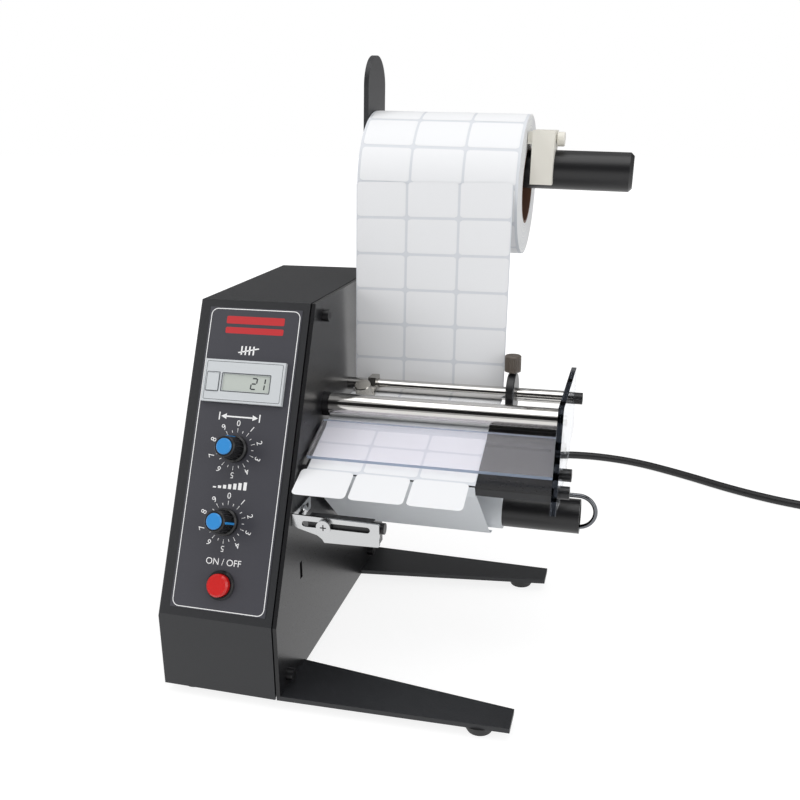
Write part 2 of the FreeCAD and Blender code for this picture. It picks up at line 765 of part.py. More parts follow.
# Feed table, clear cover and peel bar, all on the same slope
def on_table(run, lift=0):
    """A point in Y and Z: run back from the peel edge along the slope, lift square to it."""
    y = S.peel_across + dim(run) * cosine(S.table_slope) - dim(lift) * sine(S.table_slope)
    z = S.peel_height + dim(run) * sine(S.table_slope) + dim(lift) * cosine(S.table_slope)
    return (y, z)


def strip(label, start, width, run_low, run_high, lift_low, lift_high):
    outline = [on_table(run_low, lift_low), on_table(run_high, lift_low),
               on_table(run_high, lift_high), on_table(run_low, lift_high)]
    return profile_x(label, [outline], start, width)


PEEL_BAR_TALL = dim(5.2)
TABLE_SLOT_RUN = dim(31.4)
TABLE_SLOT_WIDE = dim(2.4)


def table_parts():
    wide = S.end_plate_start - 1.5
    table = strip("feed_table", 1.5, wide - 0.3, 0, S.table_run, -S.table_wall, 0)
    slot = [on_table(TABLE_SLOT_RUN, -3), on_table(TABLE_SLOT_RUN + TABLE_SLOT_WIDE, -3),
            on_table(TABLE_SLOT_RUN + TABLE_SLOT_WIDE, 3), on_table(TABLE_SLOT_RUN, 3)]
    gap = draw(table, "YZ_Plane", [slot])
    gap.AttachmentOffset = FreeCAD.Placement(vector(0, 0, 4), FreeCAD.Rotation())
    cut(table, gap, wide - 8, back=True)
    low = S.cover_lift
    strip("clear_cover", 1.5, wide - 0.3, 8.0, S.table_run + 3.0, low, low + S.glass_wall)
    outline = [on_table(-19.0, 0.9), on_table(1.0, 0.9), on_table(1.0, 1.1), on_table(-19.0, 1.1)]
    labels = []
    for index in range(3):
        start = 0.8 + index * S.label_pitch
        face = Part.Face(Part.makePolygon([vector(start, y, z) for y, z in outline + outline[:1]]))
        labels.append(face.extrude(vector(S.label_wide, 0, 0)))
    group("peeled_labels", labels)
    bar = [on_table(0.4, -S.table_wall), on_table(0.4, -S.table_wall - PEEL_BAR_TALL),
           on_table(6.4, -S.table_wall - PEEL_BAR_TALL), on_table(6.4, -S.table_wall)]
    profile_x("peel_bar", [bar], 0, S.end_plate_start)


def tie_rods():
    solids = []
    for y, z in ((70.0, 124.0), (60.0, 118.0)):
        solids.append(rod((0, y, z), S.end_plate_start, 2.5))
    group("tie_rods", solids)


def end_plate():
    item = body("end_plate", (S.end_plate_start, 0, 0))
    outline = [(38, 114), (60, 112), (96, 116), (143, 126), (143, 164), (62, 164)]
    holes = [
        (S.rod_across, S.rod_height, S.rod_radius - 1 + S.running_gap),
        (S.roller_across, S.pressure_height, S.journal_radius + S.running_gap),
        (S.roller_across, DRIVE_AXIS, S.journal_radius + S.running_gap),
    ]
    pad(item, draw(item, "YZ_Plane", [outline], holes), S.end_plate_wall)


def end_plate_screws():
    start = S.end_plate_start + S.end_plate_wall
    places = ((S.rod_across, S.rod_height), (dim(70), dim(124)), (dim(60), dim(118)))
    return [rod((start, y, z), S.screw_head + 1, S.screw_radius) for y, z in places]


# Web from the supply roll to the nip, and the liner back to the rewind tube
def round_pair(y, z, near, far, degrees):
    """The two sides of the web at one angle round a roller's axis."""
    turn = math.radians(degrees)
    return [(dim(y) + dim(side) * math.cos(turn), dim(z) + dim(side) * math.sin(turn)) for side in (near, far)]


def ribbon(label, pairs, start, width, others=()):
    """A thin strip from the pairs of points on its two sides."""
    outline = [pair[0] for pair in pairs] + [pair[1] for pair in reversed(pairs)]
    face = Part.Face(Part.makePolygon([vector(start, y, z) for y, z in outline + outline[:1]]))
    group(label, [face.extrude(vector(width, 0, 0))] + list(others))


def web_parts():
    wall = S.web_wall
    pairs = [[on_table(0.5, 0.3), on_table(0.5, 0.3 + wall)]]
    pairs.append([on_table(S.table_run, 0.3), on_table(S.table_run, 0.3 + wall)])
    for degrees in (126, 114, 102, 90):
        low = S.drive_radius + 0.15
        pairs.append(round_pair(S.roller_across, DRIVE_AXIS, low, low + wall, degrees))
    for degrees in (-90, -60, -30, 0):
        near = S.rod_radius + 0.35
        pairs.append(list(reversed(round_pair(S.rod_across, S.rod_height, near, near + wall, degrees))))
    top = S.arm_middle - S.roll_radius - 0.4
    foot = round_pair(S.rod_across, S.rod_height, S.rod_radius + 0.35, S.rod_radius + 0.35 + wall, 0)
    shift = (ROLL_HEIGHT - S.arm_bend) * sine(S.arm_lean)
    hanging = [(S.web_start, foot[0][0], S.rod_height), (S.web_start, foot[1][0], S.rod_height),
               (S.web_start + shift, top, ROLL_HEIGHT), (S.web_start + shift, top - wall, ROLL_HEIGHT)]
    face = Part.Face(Part.makePolygon([vector(*corner) for corner in hanging + hanging[:1]]))
    ribbon("label_web", pairs, S.web_start, S.web_width, [face.extrude(vector(S.web_width, 0, 0))])
    clear = S.liner_radius + 2 * S.wire_radius + 0.5
    top = on_table(-0.5, 0.2)
    nose = on_table(-0.1, -S.table_wall - PEEL_BAR_TALL - 0.3)
    first = on_table(1.5, -S.table_wall - PEEL_BAR_TALL - 0.6)
    ahead = (first[0] - S.rewind_across).value
    above = (first[1] - S.rewind_height).value
    leaving = math.degrees(math.atan2(above, ahead) + math.acos(clear.value / math.hypot(ahead, above)))
    pairs = [[top, (top[0] - wall, top[1])], [nose, (nose[0] - wall, nose[1] - wall)]]
    pairs.append([first, (first[0] - wall, first[1] - wall)])
    for share in (0, 1, 2, 3):
        degrees = leaving + share * (270 - leaving) / 3
        pairs.append(round_pair(S.rewind_across, S.rewind_height, clear, clear + wall, degrees))
    ribbon("liner_return", pairs, S.web_start, S.web_width)


# Rewind tube with the wound liner and its wire clip
def rewind_parts():
    at = (0, S.rewind_across, S.rewind_height)
    turned("rewind_tube", [
        (1.5, 0), (1.5, S.rewind_radius), (S.rewind_reach, S.rewind_radius),
        (S.rewind_reach, S.rewind_radius - 2), (120, S.rewind_radius - 2), (120, 0),
    ], at)
    turned("rewind_shaft", [
        (PLATE_IN - 22, 0), (PLATE_IN - 22, S.journal_radius), (1.5, S.journal_radius), (1.5, 0),
    ], at)
    turned("wound_liner", [
        (1.5, S.rewind_radius), (1.5, S.liner_radius), (1.5 + S.liner_width, S.liner_radius),
        (1.5 + S.liner_width, S.rewind_radius),
    ], at)


def wire_clip():
    """A hairpin whose upper leg lies on the liner and whose lower leg goes into the tube."""
    top = S.rewind_height + S.liner_radius + S.wire_radius + 0.1
    low = S.rewind_height - S.rewind_radius + 2 + S.wire_radius + 0.1
    middle = (top + low) / 2
    radius = (top - low) / 2
    end = 157.3 - radius
    across = S.rewind_across
    upper = Part.LineSegment(vector(3, across, top), vector(end, across, top))
    bend = Part.Arc(vector(end, across, top), vector(end + radius, across, middle), vector(end, across, low))
    lower = Part.LineSegment(vector(end, across, low), vector(122, across, low))
    path = Part.Wire([upper.toShape(), bend.toShape(), lower.toShape()])
    ring = Part.Wire(Part.makeCircle(S.wire_radius.value, vector(3, across, top), vector(1, 0, 0)))
    group("wire_clip", [path.makePipeShell([ring], True, True)])


# Label sensor on its slotted bracket
def sensor_parts():
    front = S.bracket_front
    wall = S.bracket_wall
    item = body("sensor_bracket", (0, front, 0))
    outline = [(0.3, S.bracket_top), (0.3, 98.5), (8.3, 97.7), (17.5, 92.8), (19.0, S.bracket_bottom),
               (S.bracket_reach, S.bracket_bottom + 0.7), (S.bracket_reach, S.bracket_top - 1)]
    slot = rectangle(7.0, 97.7, 43.6, 101.3)
    pad(item, draw(item, "XZ_Plane", [outline, slot]), wall, back=True)
    flange = draw(item, "YZ_Plane", [rectangle(0, 97, 26, 104.5)])
    flange.AttachmentOffset = FreeCAD.Placement(vector(0, 0, 0.3), FreeCAD.Rotation())
    pad(item, flange, wall)
    sensor = box("label_sensor", (9.0, front + wall + 0.3, 95.0), (36.0, 6.4, 8.0))
    tip = draw(sensor, "YZ_Plane", [], [(front + wall + 3.6, 99.3, 3.1)])
    pad(sensor, tip, 42.3)
    group("sensor_screws", [rod((18.9, front - 2.5, 99.5), 2.4, 4.0, (0, 1, 0))])


# Works inside the case
def works():
    inside = COVER_OUT + S.cover_wall
    motor = body("gear_motor", (0, S.roller_across, DRIVE_AXIS))
    gearbox = draw(motor, "YZ_Plane", [rectangle(-20, -20, 20, 20)], [(0, 0, S.journal_radius + 0.3)])
    gearbox.AttachmentOffset = FreeCAD.Placement(vector(0, 0, PLATE_IN - 26), FreeCAD.Rotation())
    pad(motor, gearbox, 24.3)
    can = draw(motor, "YZ_Plane", [], [(0, 0, 18)])
    can.AttachmentOffset = FreeCAD.Placement(vector(0, 0, PLATE_IN - 26), FreeCAD.Rotation())
    pad(motor, can, 32, back=True)
    board = body("control_board", (inside, 60, 30))
    posts = [(y, z, 2.0) for y in (5, 105) for z in (5, 55)]
    pad(board, draw(board, "YZ_Plane", [], posts), 4.0)
    sheet = draw(board, "YZ_Plane", [rectangle(0, 0, 110, 60)])
    sheet.AttachmentOffset = FreeCAD.Placement(vector(0, 0, 4), FreeCAD.Rotation())
    pad(board, sheet, 1.6)
    box("power_supply", (inside + 14, S.case_depth - 81, FLOOR + S.cover_wall), (40.0, 50.0, 26.0))


# Power cord: out of the back near the bench, along it, then to the right
CORD_HEIGHT = 3.4
GLAND_X = -35.0
CORD_ROUTE = [
    (-35.0, 222.0, 26.0),
    (-35.0, 241.0, 25.0),
    (-34.0, 264.0, 14.0),
    (-28.0, 292.0, CORD_HEIGHT),
    (-8.0, 332.0, CORD_HEIGHT),
    (28.0, 372.0, CORD_HEIGHT),
    (74.0, 404.0, CORD_HEIGHT),
    (124.0, 421.0, CORD_HEIGHT),
    (174.0, 416.0, CORD_HEIGHT),
    (218.0, 394.0, CORD_HEIGHT),
    (262.0, 366.0, CORD_HEIGHT),
    (306.0, 347.0, CORD_HEIGHT),
    (352.0, 340.0, CORD_HEIGHT),
    (392.0, 348.0, CORD_HEIGHT),
]


def rounded_path(points):
    """Straight runs joined by tangent arcs, each as large as its two runs allow."""
    edges = []
    last = vector(*points[0])
    for before, corner, after in zip(points, points[1:], points[2:]):
        a, b, c = vector(*before), vector(*corner), vector(*after)
        back = (a - b).normalize()
        ahead = (c - b).normalize()
        reach = 0.45 * min((a - b).Length, (c - b).Length)
        half_turn = (math.pi - back.getAngle(ahead)) / 2
        radius = reach / math.tan(half_turn)
        print("cord radius %.0f" % radius)
        start = b + back * reach
        end = b + ahead * reach
        middle = b + (back + ahead).normalize() * (radius / math.cos(half_turn) - radius)
        edges.append(Part.LineSegment(last, start).toShape())
        edges.append(Part.Arc(start, middle, end).toShape())
        last = end
    edges.append(Part.LineSegment(last, vector(*points[-1])).toShape())
    return Part.Wire(edges)


def cord_parts():
    path = rounded_path(CORD_ROUTE)
    first = vector(*CORD_ROUTE[0])
    towards = (vector(*CORD_ROUTE[1]) - first).normalize()
    ring = Part.Wire(Part.makeCircle(S.cord_radius.value, first, towards))
    cord = path.makePipeShell([ring], True, True)
    area = math.pi * S.cord_radius.value ** 2
    if abs(cord.Volume / (area * path.Length) - 1) > 0.01:
        raise RuntimeError("the cord's volume is wrong")
    group("power_cord", [cord])
    item = DOC.addObject("Part::Feature", "Gland")
    item.Label = "cord_gland"
    flange = Part.makeCylinder(9, 4, vector(GLAND_X, S.case_depth, 26), vector(0, 1, 0))
    cone = Part.makeCone(6.5, 4.2, 17, vector(GLAND_X, S.case_depth + 4, 26), vector(0, 1, 0))
    item.Shape = flange.fuse(cone)
    PARTS.append(item)
    end = vector(*CORD_ROUTE[-1])
    turns = Part.makeTorus(36, 9, FreeCAD.Vector(0, 0, 0))
    coil = turns.translated(end + vector(9, 45, 5.6))
    group("cord_coil", [coil])
    plug = Part.makeCylinder(9, 26, end + vector(38.8, 2, 5.9), vector(1, 0, 0))
    group("power_plug", [plug])


side_plate()
housing_cover()
bottom_plate()
leg("front_leg", dim(0), S.leg_taper, SCREW_PLACES[0])
leg("rear_leg", S.rear_leg_place, S.rear_leg_place + S.leg_root - S.leg_taper - S.leg_tip, SCREW_PLACES[3])
rubber_feet()
group("machine_screws", plate_screws() + arm_screws() + end_plate_screws())
panel_overlay()
counter_parts()
knob("length_knob", S.length_knob_place)
knob("speed_knob", S.speed_knob_place)
dial_bushes()
power_parts()
supply_bar()
supply_parts()
roll_clip()
bushes()
roller_parts()
guide_collars()
table_parts()
tie_rods()
end_plate()
web_parts()
rewind_parts()
wire_clip()
sensor_parts()
works()
cord_parts()

DOC.recompute()
for thing in DOC.Objects:
    if "Invalid" in thing.State or "Error" in thing.State:
        raise RuntimeError("%s did not build" % thing.Label)
os.makedirs("parts", exist_ok=True)
for thing in PARTS:
    if thing.Shape.isNull() or not thing.Shape.isValid():
        raise RuntimeError("%s has no valid shape" % thing.Label)
    thing.Shape.exportStep(os.path.join("parts", thing.Label + ".step"))
print("%d nodes" % len(PARTS))
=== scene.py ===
import bmesh
import bpy
import math
from mathutils import Matrix, Vector


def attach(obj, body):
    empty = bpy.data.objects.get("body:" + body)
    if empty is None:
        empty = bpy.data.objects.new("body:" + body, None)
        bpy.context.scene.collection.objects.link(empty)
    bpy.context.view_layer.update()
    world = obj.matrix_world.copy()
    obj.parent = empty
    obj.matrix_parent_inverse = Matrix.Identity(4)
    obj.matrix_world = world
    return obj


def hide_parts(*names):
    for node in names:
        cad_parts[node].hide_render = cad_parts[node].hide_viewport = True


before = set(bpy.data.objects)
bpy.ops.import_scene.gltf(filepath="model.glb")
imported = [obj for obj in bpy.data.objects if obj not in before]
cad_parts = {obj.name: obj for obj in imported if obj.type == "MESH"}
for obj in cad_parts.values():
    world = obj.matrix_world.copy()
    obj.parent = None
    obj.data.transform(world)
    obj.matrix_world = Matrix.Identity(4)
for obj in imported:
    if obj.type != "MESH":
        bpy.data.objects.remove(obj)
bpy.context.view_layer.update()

# Camera at the photograph's place and angle, to the right of the machine's front and a little above it.
# The lens is worked out from the case's edges. The picture is square.
PICTURE_PIXELS = 800
FOCAL_PIXELS = 907.6
SENSOR_WIDTH = 36
AZIMUTH = math.radians(15.17)
ELEVATION = math.radians(17.61)
ROLL = math.radians(-0.60)
EYE = Vector((0.1746, -0.3890, 0.31065))
back = Vector((math.sin(AZIMUTH) * math.cos(ELEVATION), -math.cos(AZIMUTH) * math.cos(ELEVATION),
               math.sin(ELEVATION)))
level = Vector((math.cos(AZIMUTH), math.sin(AZIMUTH), 0))
rise = back.cross(level)
right = level * math.cos(ROLL) + rise * math.sin(ROLL)
up = back.cross(right)
camera = bpy.data.objects.new("camera", bpy.data.cameras.new("camera"))
camera.data.sensor_width = SENSOR_WIDTH
camera.data.lens = FOCAL_PIXELS / PICTURE_PIXELS * SENSOR_WIDTH
camera.data.clip_end = 20
camera.matrix_world = Matrix.Translation(EYE) @ Matrix((right, up, back)).transposed().to_4x4()
bpy.context.collection.objects.link(camera)
bpy.context.scene.camera = camera
bpy.context.scene.view_settings.view_transform = "Standard"


def colour(code):
    """A hex colour as the linear values that a shader takes."""
    parts = [int(code[i:i + 2], 16) / 255 for i in (1, 3, 5)]
    return [c / 12.92 if c < 0.04045 else ((c + 0.055) / 1.055) ** 2.4 for c in parts] + [1]


def add(tree, kind, links=(), **settings):
    """A node with its settings, its input values and its links."""
    node = tree.nodes.new(kind)
    for name, value in settings.items():
        setattr(node, name, value)
    for name, value in dict(links).items():
        if isinstance(value, bpy.types.NodeSocket):
            tree.links.new(value, node.inputs[name])
        else:
            node.inputs[name].default_value = value
    return node


# Power cord: round black PVC lead, moulded to its plug. It leaves the ribbed strain relief in the back,
# drops to the bench, bows out behind the machine to the right, and the spare length is wound in a coil.
# Each turn has its radius and height at its start and end, and the share where it begins to move over.
CORD_RADIUS = 0.0034
LOW = 0.0034
HIGH = 0.0102
CORD_ROUTE = [
    (-0.035, 0.222, 0.026), (-0.035, 0.241, 0.025), (-0.034, 0.264, 0.014), (-0.028, 0.292, LOW),
    (-0.008, 0.332, LOW), (0.028, 0.372, LOW), (0.074, 0.404, LOW), (0.124, 0.421, LOW),
    (0.174, 0.416, LOW), (0.218, 0.394, LOW), (0.262, 0.366, LOW), (0.306, 0.347, LOW),
    (0.352, 0.340, LOW), (0.384, 0.344, LOW),
]
COIL_CENTRE = (0.401, 0.393)
COIL_START = math.radians(-78)
COIL_TURNS = [
    (0.0414, 0.0344, LOW, LOW, 0.66),
    (0.0344, 0.0274, LOW, LOW, 0.66),
    (0.0274, 0.0274, LOW, HIGH, 0.33),
    (0.0274, 0.0344, HIGH, HIGH, 0.0),
    (0.0344, 0.0414, HIGH, HIGH, 0.0),
]
PER_TURN = 14
MOVE_OVER = 0.34
INSIDE_CORNERS = 0.975
COIL_END = [(0.4020, 0.3503, HIGH), (0.4160, 0.3500, 0.0098)]
PLUG_BACK = (0.4308, 0.350, 0.0093)


def coil_points():
    """Control points of the turns. They stand outside the lead's line, which cuts inside their corners."""
    points = []
    for near, far, low, high, start in COIL_TURNS:
        for step in range(PER_TURN):
            share = min(1, max(0, (step / PER_TURN - start) / MOVE_OVER))
            reach = (near + (far - near) * share) / INSIDE_CORNERS
            angle = COIL_START + 2 * math.pi * step / PER_TURN
            points.append((COIL_CENTRE[0] + reach * math.cos(angle),
                           COIL_CENTRE[1] + reach * math.sin(angle),
                           low + (high - low) * share))
    return points


def new_material(name):
    """A new material with its node tree and its surface shader."""
    material = bpy.data.materials.new(name)
    material.use_nodes = True
    tree = material.node_tree
    return material, tree, tree.nodes["Principled BSDF"]


def grain(tree, shader, size_mm, depth, rough=None, detail=3.0):
    """A fine even grain in the surface, sized in millimetres, with its span of roughness."""
    place = add(tree, "ShaderNodeTexCoord")
    noise = add(tree, "ShaderNodeTexNoise", {"Vector": place.outputs["Object"], "Scale": 1000 / size_mm,
                                             "Detail": detail})
    bump = add(tree, "ShaderNodeBump", {"Height": noise.outputs["Fac"], "Strength": depth,
                                        "Distance": 0.0002})
    tree.links.new(bump.outputs["Normal"], shader.inputs["Normal"])
    if rough:
        spread = add(tree, "ShaderNodeMapRange", {"Value": noise.outputs["Fac"], "To Min": rough[0],
                                                  "To Max": rough[1]})
        tree.links.new(spread.outputs["Result"], shader.inputs["Roughness"])


def dress(material, *nodes):
    """Gives CAD nodes their material."""
    for name in nodes:
        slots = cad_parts[name].material_slots
        for slot in slots:
            slot.material = material
        if not slots:
            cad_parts[name].data.materials.append(material)


def pvc():
    material, tree, shader = new_material("black_pvc")
    shader.inputs["Base Color"].default_value = colour("#151517")
    shader.inputs["IOR"].default_value = 1.52
    grain(tree, shader, 1.2, 0.08, (0.38, 0.5))
    return material


def piece(name, mesh, material, body):
    """A finished mesh as a piece that rides on a body."""
    if material:
        mesh.materials.clear()
        mesh.materials.append(material)
    item = bpy.data.objects.new(name, mesh)
    bpy.context.collection.objects.link(item)
    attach(item, body)
    return item


def lathe(name, profile, start, axis, steps=48, smooth=35):
    """A closed turned mesh from its profile of (along, radius), about an axis from start."""
    shape = bmesh.new()
    rings = []
    for along, radius in profile:
        ring = []
        for i in range(steps if radius > 0 else 1):
            angle = 2 * math.pi * i / steps
            ring.append(shape.verts.new((radius * math.cos(angle), radius * math.sin(angle), along)))
        rings.append(ring)
    for low, high in zip(rings, rings[1:]):
        for i in range(steps):
            corners = [low[i % len(low)], low[(i + 1) % len(low)]]
            corners += [high[(i + 1) % len(high)], high[i % len(high)]]
            shape.faces.new(list(dict.fromkeys(corners)))
    bmesh.ops.recalc_face_normals(shape, faces=shape.faces)
    mesh = bpy.data.meshes.new(name)
    shape.to_mesh(mesh)
    shape.free()
    turn = Vector((0, 0, 1)).rotation_difference(Vector(axis)).to_matrix().to_4x4()
    mesh.transform(Matrix.Translation(start) @ turn)
    mesh.shade_smooth()
    mesh.set_sharp_from_angle(angle=math.radians(smooth))
    return mesh


lead_pvc = pvc()
lead = bpy.data.curves.new("power_lead", "CURVE")
lead.dimensions = "3D"
lead.bevel_depth = CORD_RADIUS
lead.bevel_resolution = 4
lead.resolution_u = 8
lead.use_fill_caps = True
run = lead.splines.new("NURBS")
route = CORD_ROUTE + coil_points() + COIL_END + [PLUG_BACK]
run.points.add(len(route) - 1)
for point, place in zip(run.points, route):
    point.co = (*place, 1)
run.order_u = 3
run.use_endpoint_u = True
lead.materials.append(lead_pvc)
lead_piece = bpy.data.objects.new("power_lead", lead)
bpy.context.collection.objects.link(lead_piece)
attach(lead_piece, "case")
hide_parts("power_cord", "cord_coil")

# Mains plug: a moulded PVC body with a waist for the fingers and a broad face.
# Two stamped brass blades stand in the face.
PLUG_PROFILE = [(0, 0), (0, 0.0052), (0.0012, 0.0060), (0.0030, 0.0062), (0.0048, 0.0070), (0.0062, 0.0086),
                (0.0100, 0.0090), (0.0112, 0.0084), (0.0112, 0)]
BLADE_LOW = (0.4415, -0.0008, 0.0062)
BLADE_HIGH = (0.4565, 0.0008, 0.0124)
BLADE_PLACES = (0.3500 - 0.0058, 0.3500 + 0.0058)
plug = piece("mains_plug", lathe("plug_body", PLUG_PROFILE, PLUG_BACK, (1, 0, 0)), lead_pvc, "case")
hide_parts("power_plug")


def bars(name, boxes, bevel=0.0002):
    """One mesh of small bars, each from its lowest to its highest corner, with broken edges."""
    shape = bmesh.new()
    for low, high in boxes:
        made = bmesh.ops.create_cube(shape, size=1)["verts"]
        for vert in made:
            vert.co = [low[k] if vert.co[k] < 0 else high[k] for k in range(3)]
    if bevel:
        bmesh.ops.bevel(shape, geom=shape.edges[:], offset=bevel, segments=2, affect="EDGES")
    mesh = bpy.data.meshes.new(name)
    shape.to_mesh(mesh)
    shape.free()
    return mesh


def brass():
    material, tree, shader = new_material("brass_blade")
    shader.inputs["Base Color"].default_value = colour("#c8a55e")
    shader.inputs["Metallic"].default_value = 1
    grain(tree, shader, 0.6, 0.05, (0.2, 0.35))
    return material


blades = []
for middle in BLADE_PLACES:
    blades.append(((BLADE_LOW[0], middle + BLADE_LOW[1], BLADE_LOW[2]),
                   (BLADE_HIGH[0], middle + BLADE_HIGH[1], BLADE_HIGH[2])))
blade_piece = piece("plug_blades", bars("plug_blades", blades), brass(), "case")

# Strain relief: a soft moulded boot pressed into the back of the cover, with a flange against the sheet.
# Five ribs, each a little smaller than the one before, let it bend with the lead.
RIBS = 5
RIB_STEP = 0.0030
RIB_TAPER = 0.00045
BOOT_START = (-0.035, 0.201, 0.026)
boot_profile = [(0, 0), (0, 0.0088), (0.0012, 0.0090), (0.0036, 0.0090), (0.0040, 0.0084), (0.0042, 0.0066)]
for rib in range(RIBS):
    along = 0.0056 + rib * RIB_STEP
    radius = 0.0064 - rib * RIB_TAPER
    boot_profile += [(along, radius), (along + 0.0016, radius - 0.0001), (along + 0.0019, radius - 0.0010),
                     (along + 0.0027, radius - 0.0011)]
boot_profile += [(0.0208, 0.0044), (0.0210, 0.0040), (0.0210, 0)]
boot = piece("strain_relief", lathe("strain_relief", boot_profile, BOOT_START, (0, 1, 0)), lead_pvc, "case")
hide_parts("cord_gland")


# Studio: a pale bench and a pale surround. The bench keeps the machine's soft shadow and is white
# further off. Polished parts mirror the white room and two black flags, which give the rollers their streaks.
SHADOW_REACH = (0.35, 0.9)
BENCH_GLOW = 1.2
BENCH_SIDE = 6


def bench_material():
    """Matt board with a share of white glow for the camera, mirrors and glass, less near the machine."""
    material = bpy.data.materials.new("pale_bench")
    material.use_nodes = True
    tree = material.node_tree
    tree.nodes.clear()
    rays = add(tree, "ShaderNodeLightPath")
    seen = add(tree, "ShaderNodeMath", {0: rays.outputs["Is Camera Ray"], 1: rays.outputs["Is Glossy Ray"]},
               operation="ADD", use_clamp=True)
    through = add(tree, "ShaderNodeMath", {0: seen.outputs[0], 1: rays.outputs["Is Transmission Ray"]},
                  operation="ADD", use_clamp=True)
    place = add(tree, "ShaderNodeTexCoord")
    away = add(tree, "ShaderNodeVectorMath", {0: place.outputs["Object"]}, operation="LENGTH")
    fade = add(tree, "ShaderNodeMapRange", {"Value": away.outputs["Value"], "From Min": SHADOW_REACH[0],
                                            "From Max": SHADOW_REACH[1], "To Min": 0.70, "To Max": 1.0})
    share = add(tree, "ShaderNodeMath", {0: through.outputs[0], 1: fade.outputs[0]}, operation="MULTIPLY")
    matt = add(tree, "ShaderNodeBsdfDiffuse", {"Color": colour("#f2f2f2")})
    glow = add(tree, "ShaderNodeEmission", {"Color": colour("#ffffff"), "Strength": BENCH_GLOW})
    mix = add(tree, "ShaderNodeMixShader", {0: share.outputs[0], 1: matt.outputs[0], 2: glow.outputs[0]})
    add(tree, "ShaderNodeOutputMaterial", {"Surface": mix.outputs[0]})
    return material


def staged_sheet(name, wide, tall, place, material):
    """A flat sheet of the studio, which isn't part of the machine."""
    mesh = bpy.data.meshes.new(name)
    mesh.from_pydata([(-wide / 2, -tall / 2, 0), (wide / 2, -tall / 2, 0), (wide / 2, tall / 2, 0),
                      (-wide / 2, tall / 2, 0)], [], [(0, 1, 2, 3)])
    mesh.transform(place)
    mesh.materials.append(material)
    sheet = bpy.data.objects.new(name, mesh)
    bpy.context.collection.objects.link(sheet)
    return sheet


staged_sheet("bench", 2 * BENCH_SIDE, 2 * BENCH_SIDE, Matrix.Identity(4), bench_material())
flag_cloth, _, flag_shader = new_material("black_flag_cloth")
flag_shader.inputs["Base Color"].default_value = colour("#050505")
flag_shader.inputs["Roughness"].default_value = 0.9


def dark_strip(name, centre, wide, tall, towards):
    """A black flag out of the camera's sight, which only polished parts mirror."""
    aim = (Vector(towards) - Vector(centre)).to_track_quat("Z", "Y").to_matrix().to_4x4()
    flag = staged_sheet(name, wide, tall, Matrix.Translation(centre) @ aim, flag_cloth)
    flag.visible_camera = False
    flag.visible_transmission = False
    flag.visible_diffuse = False
    flag.visible_shadow = False


ROLLERS = (0.07, 0.1, 0.15)
dark_strip("front_flag", (0.1, -1.1, 0.85), 3.0, 0.80, ROLLERS)
dark_strip("back_flag", (0.1, 1.4, 0.75), 3.0, 0.45, ROLLERS)

ROOM_FILL = 0.50
world = bpy.data.worlds.new("room")
world.use_nodes = True
bpy.context.scene.world = world
room = world.node_tree
room.nodes.clear()
rays = add(room, "ShaderNodeLightPath")
seen = add(room, "ShaderNodeMath", {0: rays.outputs["Is Camera Ray"], 1: rays.outputs["Is Transmission Ray"]},
           operation="ADD", use_clamp=True)
fill = add(room, "ShaderNodeBackground", {"Color": colour("#ffffff"), "Strength": ROOM_FILL})
white = add(room, "ShaderNodeBackground", {"Color": colour("#ffffff"), "Strength": 1.0})
both = add(room, "ShaderNodeMixShader", {0: seen.outputs[0], 1: fill.outputs[0], 2: white.outputs[0]})
add(room, "ShaderNodeOutputWorld", {"Surface": both.outputs[0]})


def softbox(name, at, towards, size, power):
    """A soft lamp of a given width and height in metres and power in watts."""
    lamp = bpy.data.lights.new(name, "AREA")
    lamp.shape = "RECTANGLE"
    lamp.size = size[0]
    lamp.size_y = size[1]
    lamp.energy = power
    item = bpy.data.objects.new(name, lamp)
    aim = (Vector(towards) - Vector(at)).to_track_quat("-Z", "Y")
    item.matrix_world = Matrix.Translation(at) @ aim.to_matrix().to_4x4()
    bpy.context.collection.objects.link(item)


softbox("overhead_softbox", (0.1, -0.1, 1.5), (0.05, 0.1, 0.1), (1.2, 1.2), 8)
softbox("left_softbox", (-1.3, -0.9, 0.8), (0.0, 0.1, 0.15), (0.9, 1.1), 7)
softbox("right_softbox", (1.4, -0.5, 0.7), (0.05, 0.1, 0.15), (0.7, 1.1), 5)


# Case: folded steel sheet with a satin black powder coat, which gives a fine orange peel and a soft sheen.
# The side plate and the feed table have a smoother, deeper black enamel that mirrors the rollers a little.
def powder_coat():
    material, tree, shader = new_material("black_powder_coat")
    shader.inputs["Base Color"].default_value = colour("#242528")
    shader.inputs["IOR"].default_value = 1.5
    grain(tree, shader, 0.7, 0.35, (0.36, 0.5))
    return material


def plate_enamel():
    material, tree, shader = new_material("black_plate_enamel")
    shader.inputs["Base Color"].default_value = colour("#1a1a1c")
    shader.inputs["IOR"].default_value = 1.5
    shader.inputs["Specular IOR Level"].default_value = 0.4
    grain(tree, shader, 0.9, 0.06, (0.24, 0.34))
    return material


dress(powder_coat(), "housing_cover", "bottom_plate", "front_leg", "rear_leg", "supply_bar", "peel_bar",
      "tie_rods")
dress(plate_enamel(), "side_plate", "feed_table")


# Rubber feet and the driven roller: black rubber, moulded for the feet and ground for the roller,
# with a dull, slightly mottled skin.
def black_rubber():
    material, tree, shader = new_material("black_rubber")
    shader.inputs["Base Color"].default_value = colour("#1b1b1c")
    grain(tree, shader, 0.5, 0.3, (0.6, 0.75))
    return material


dress(black_rubber(), "rubber_feet", "drive_roller")


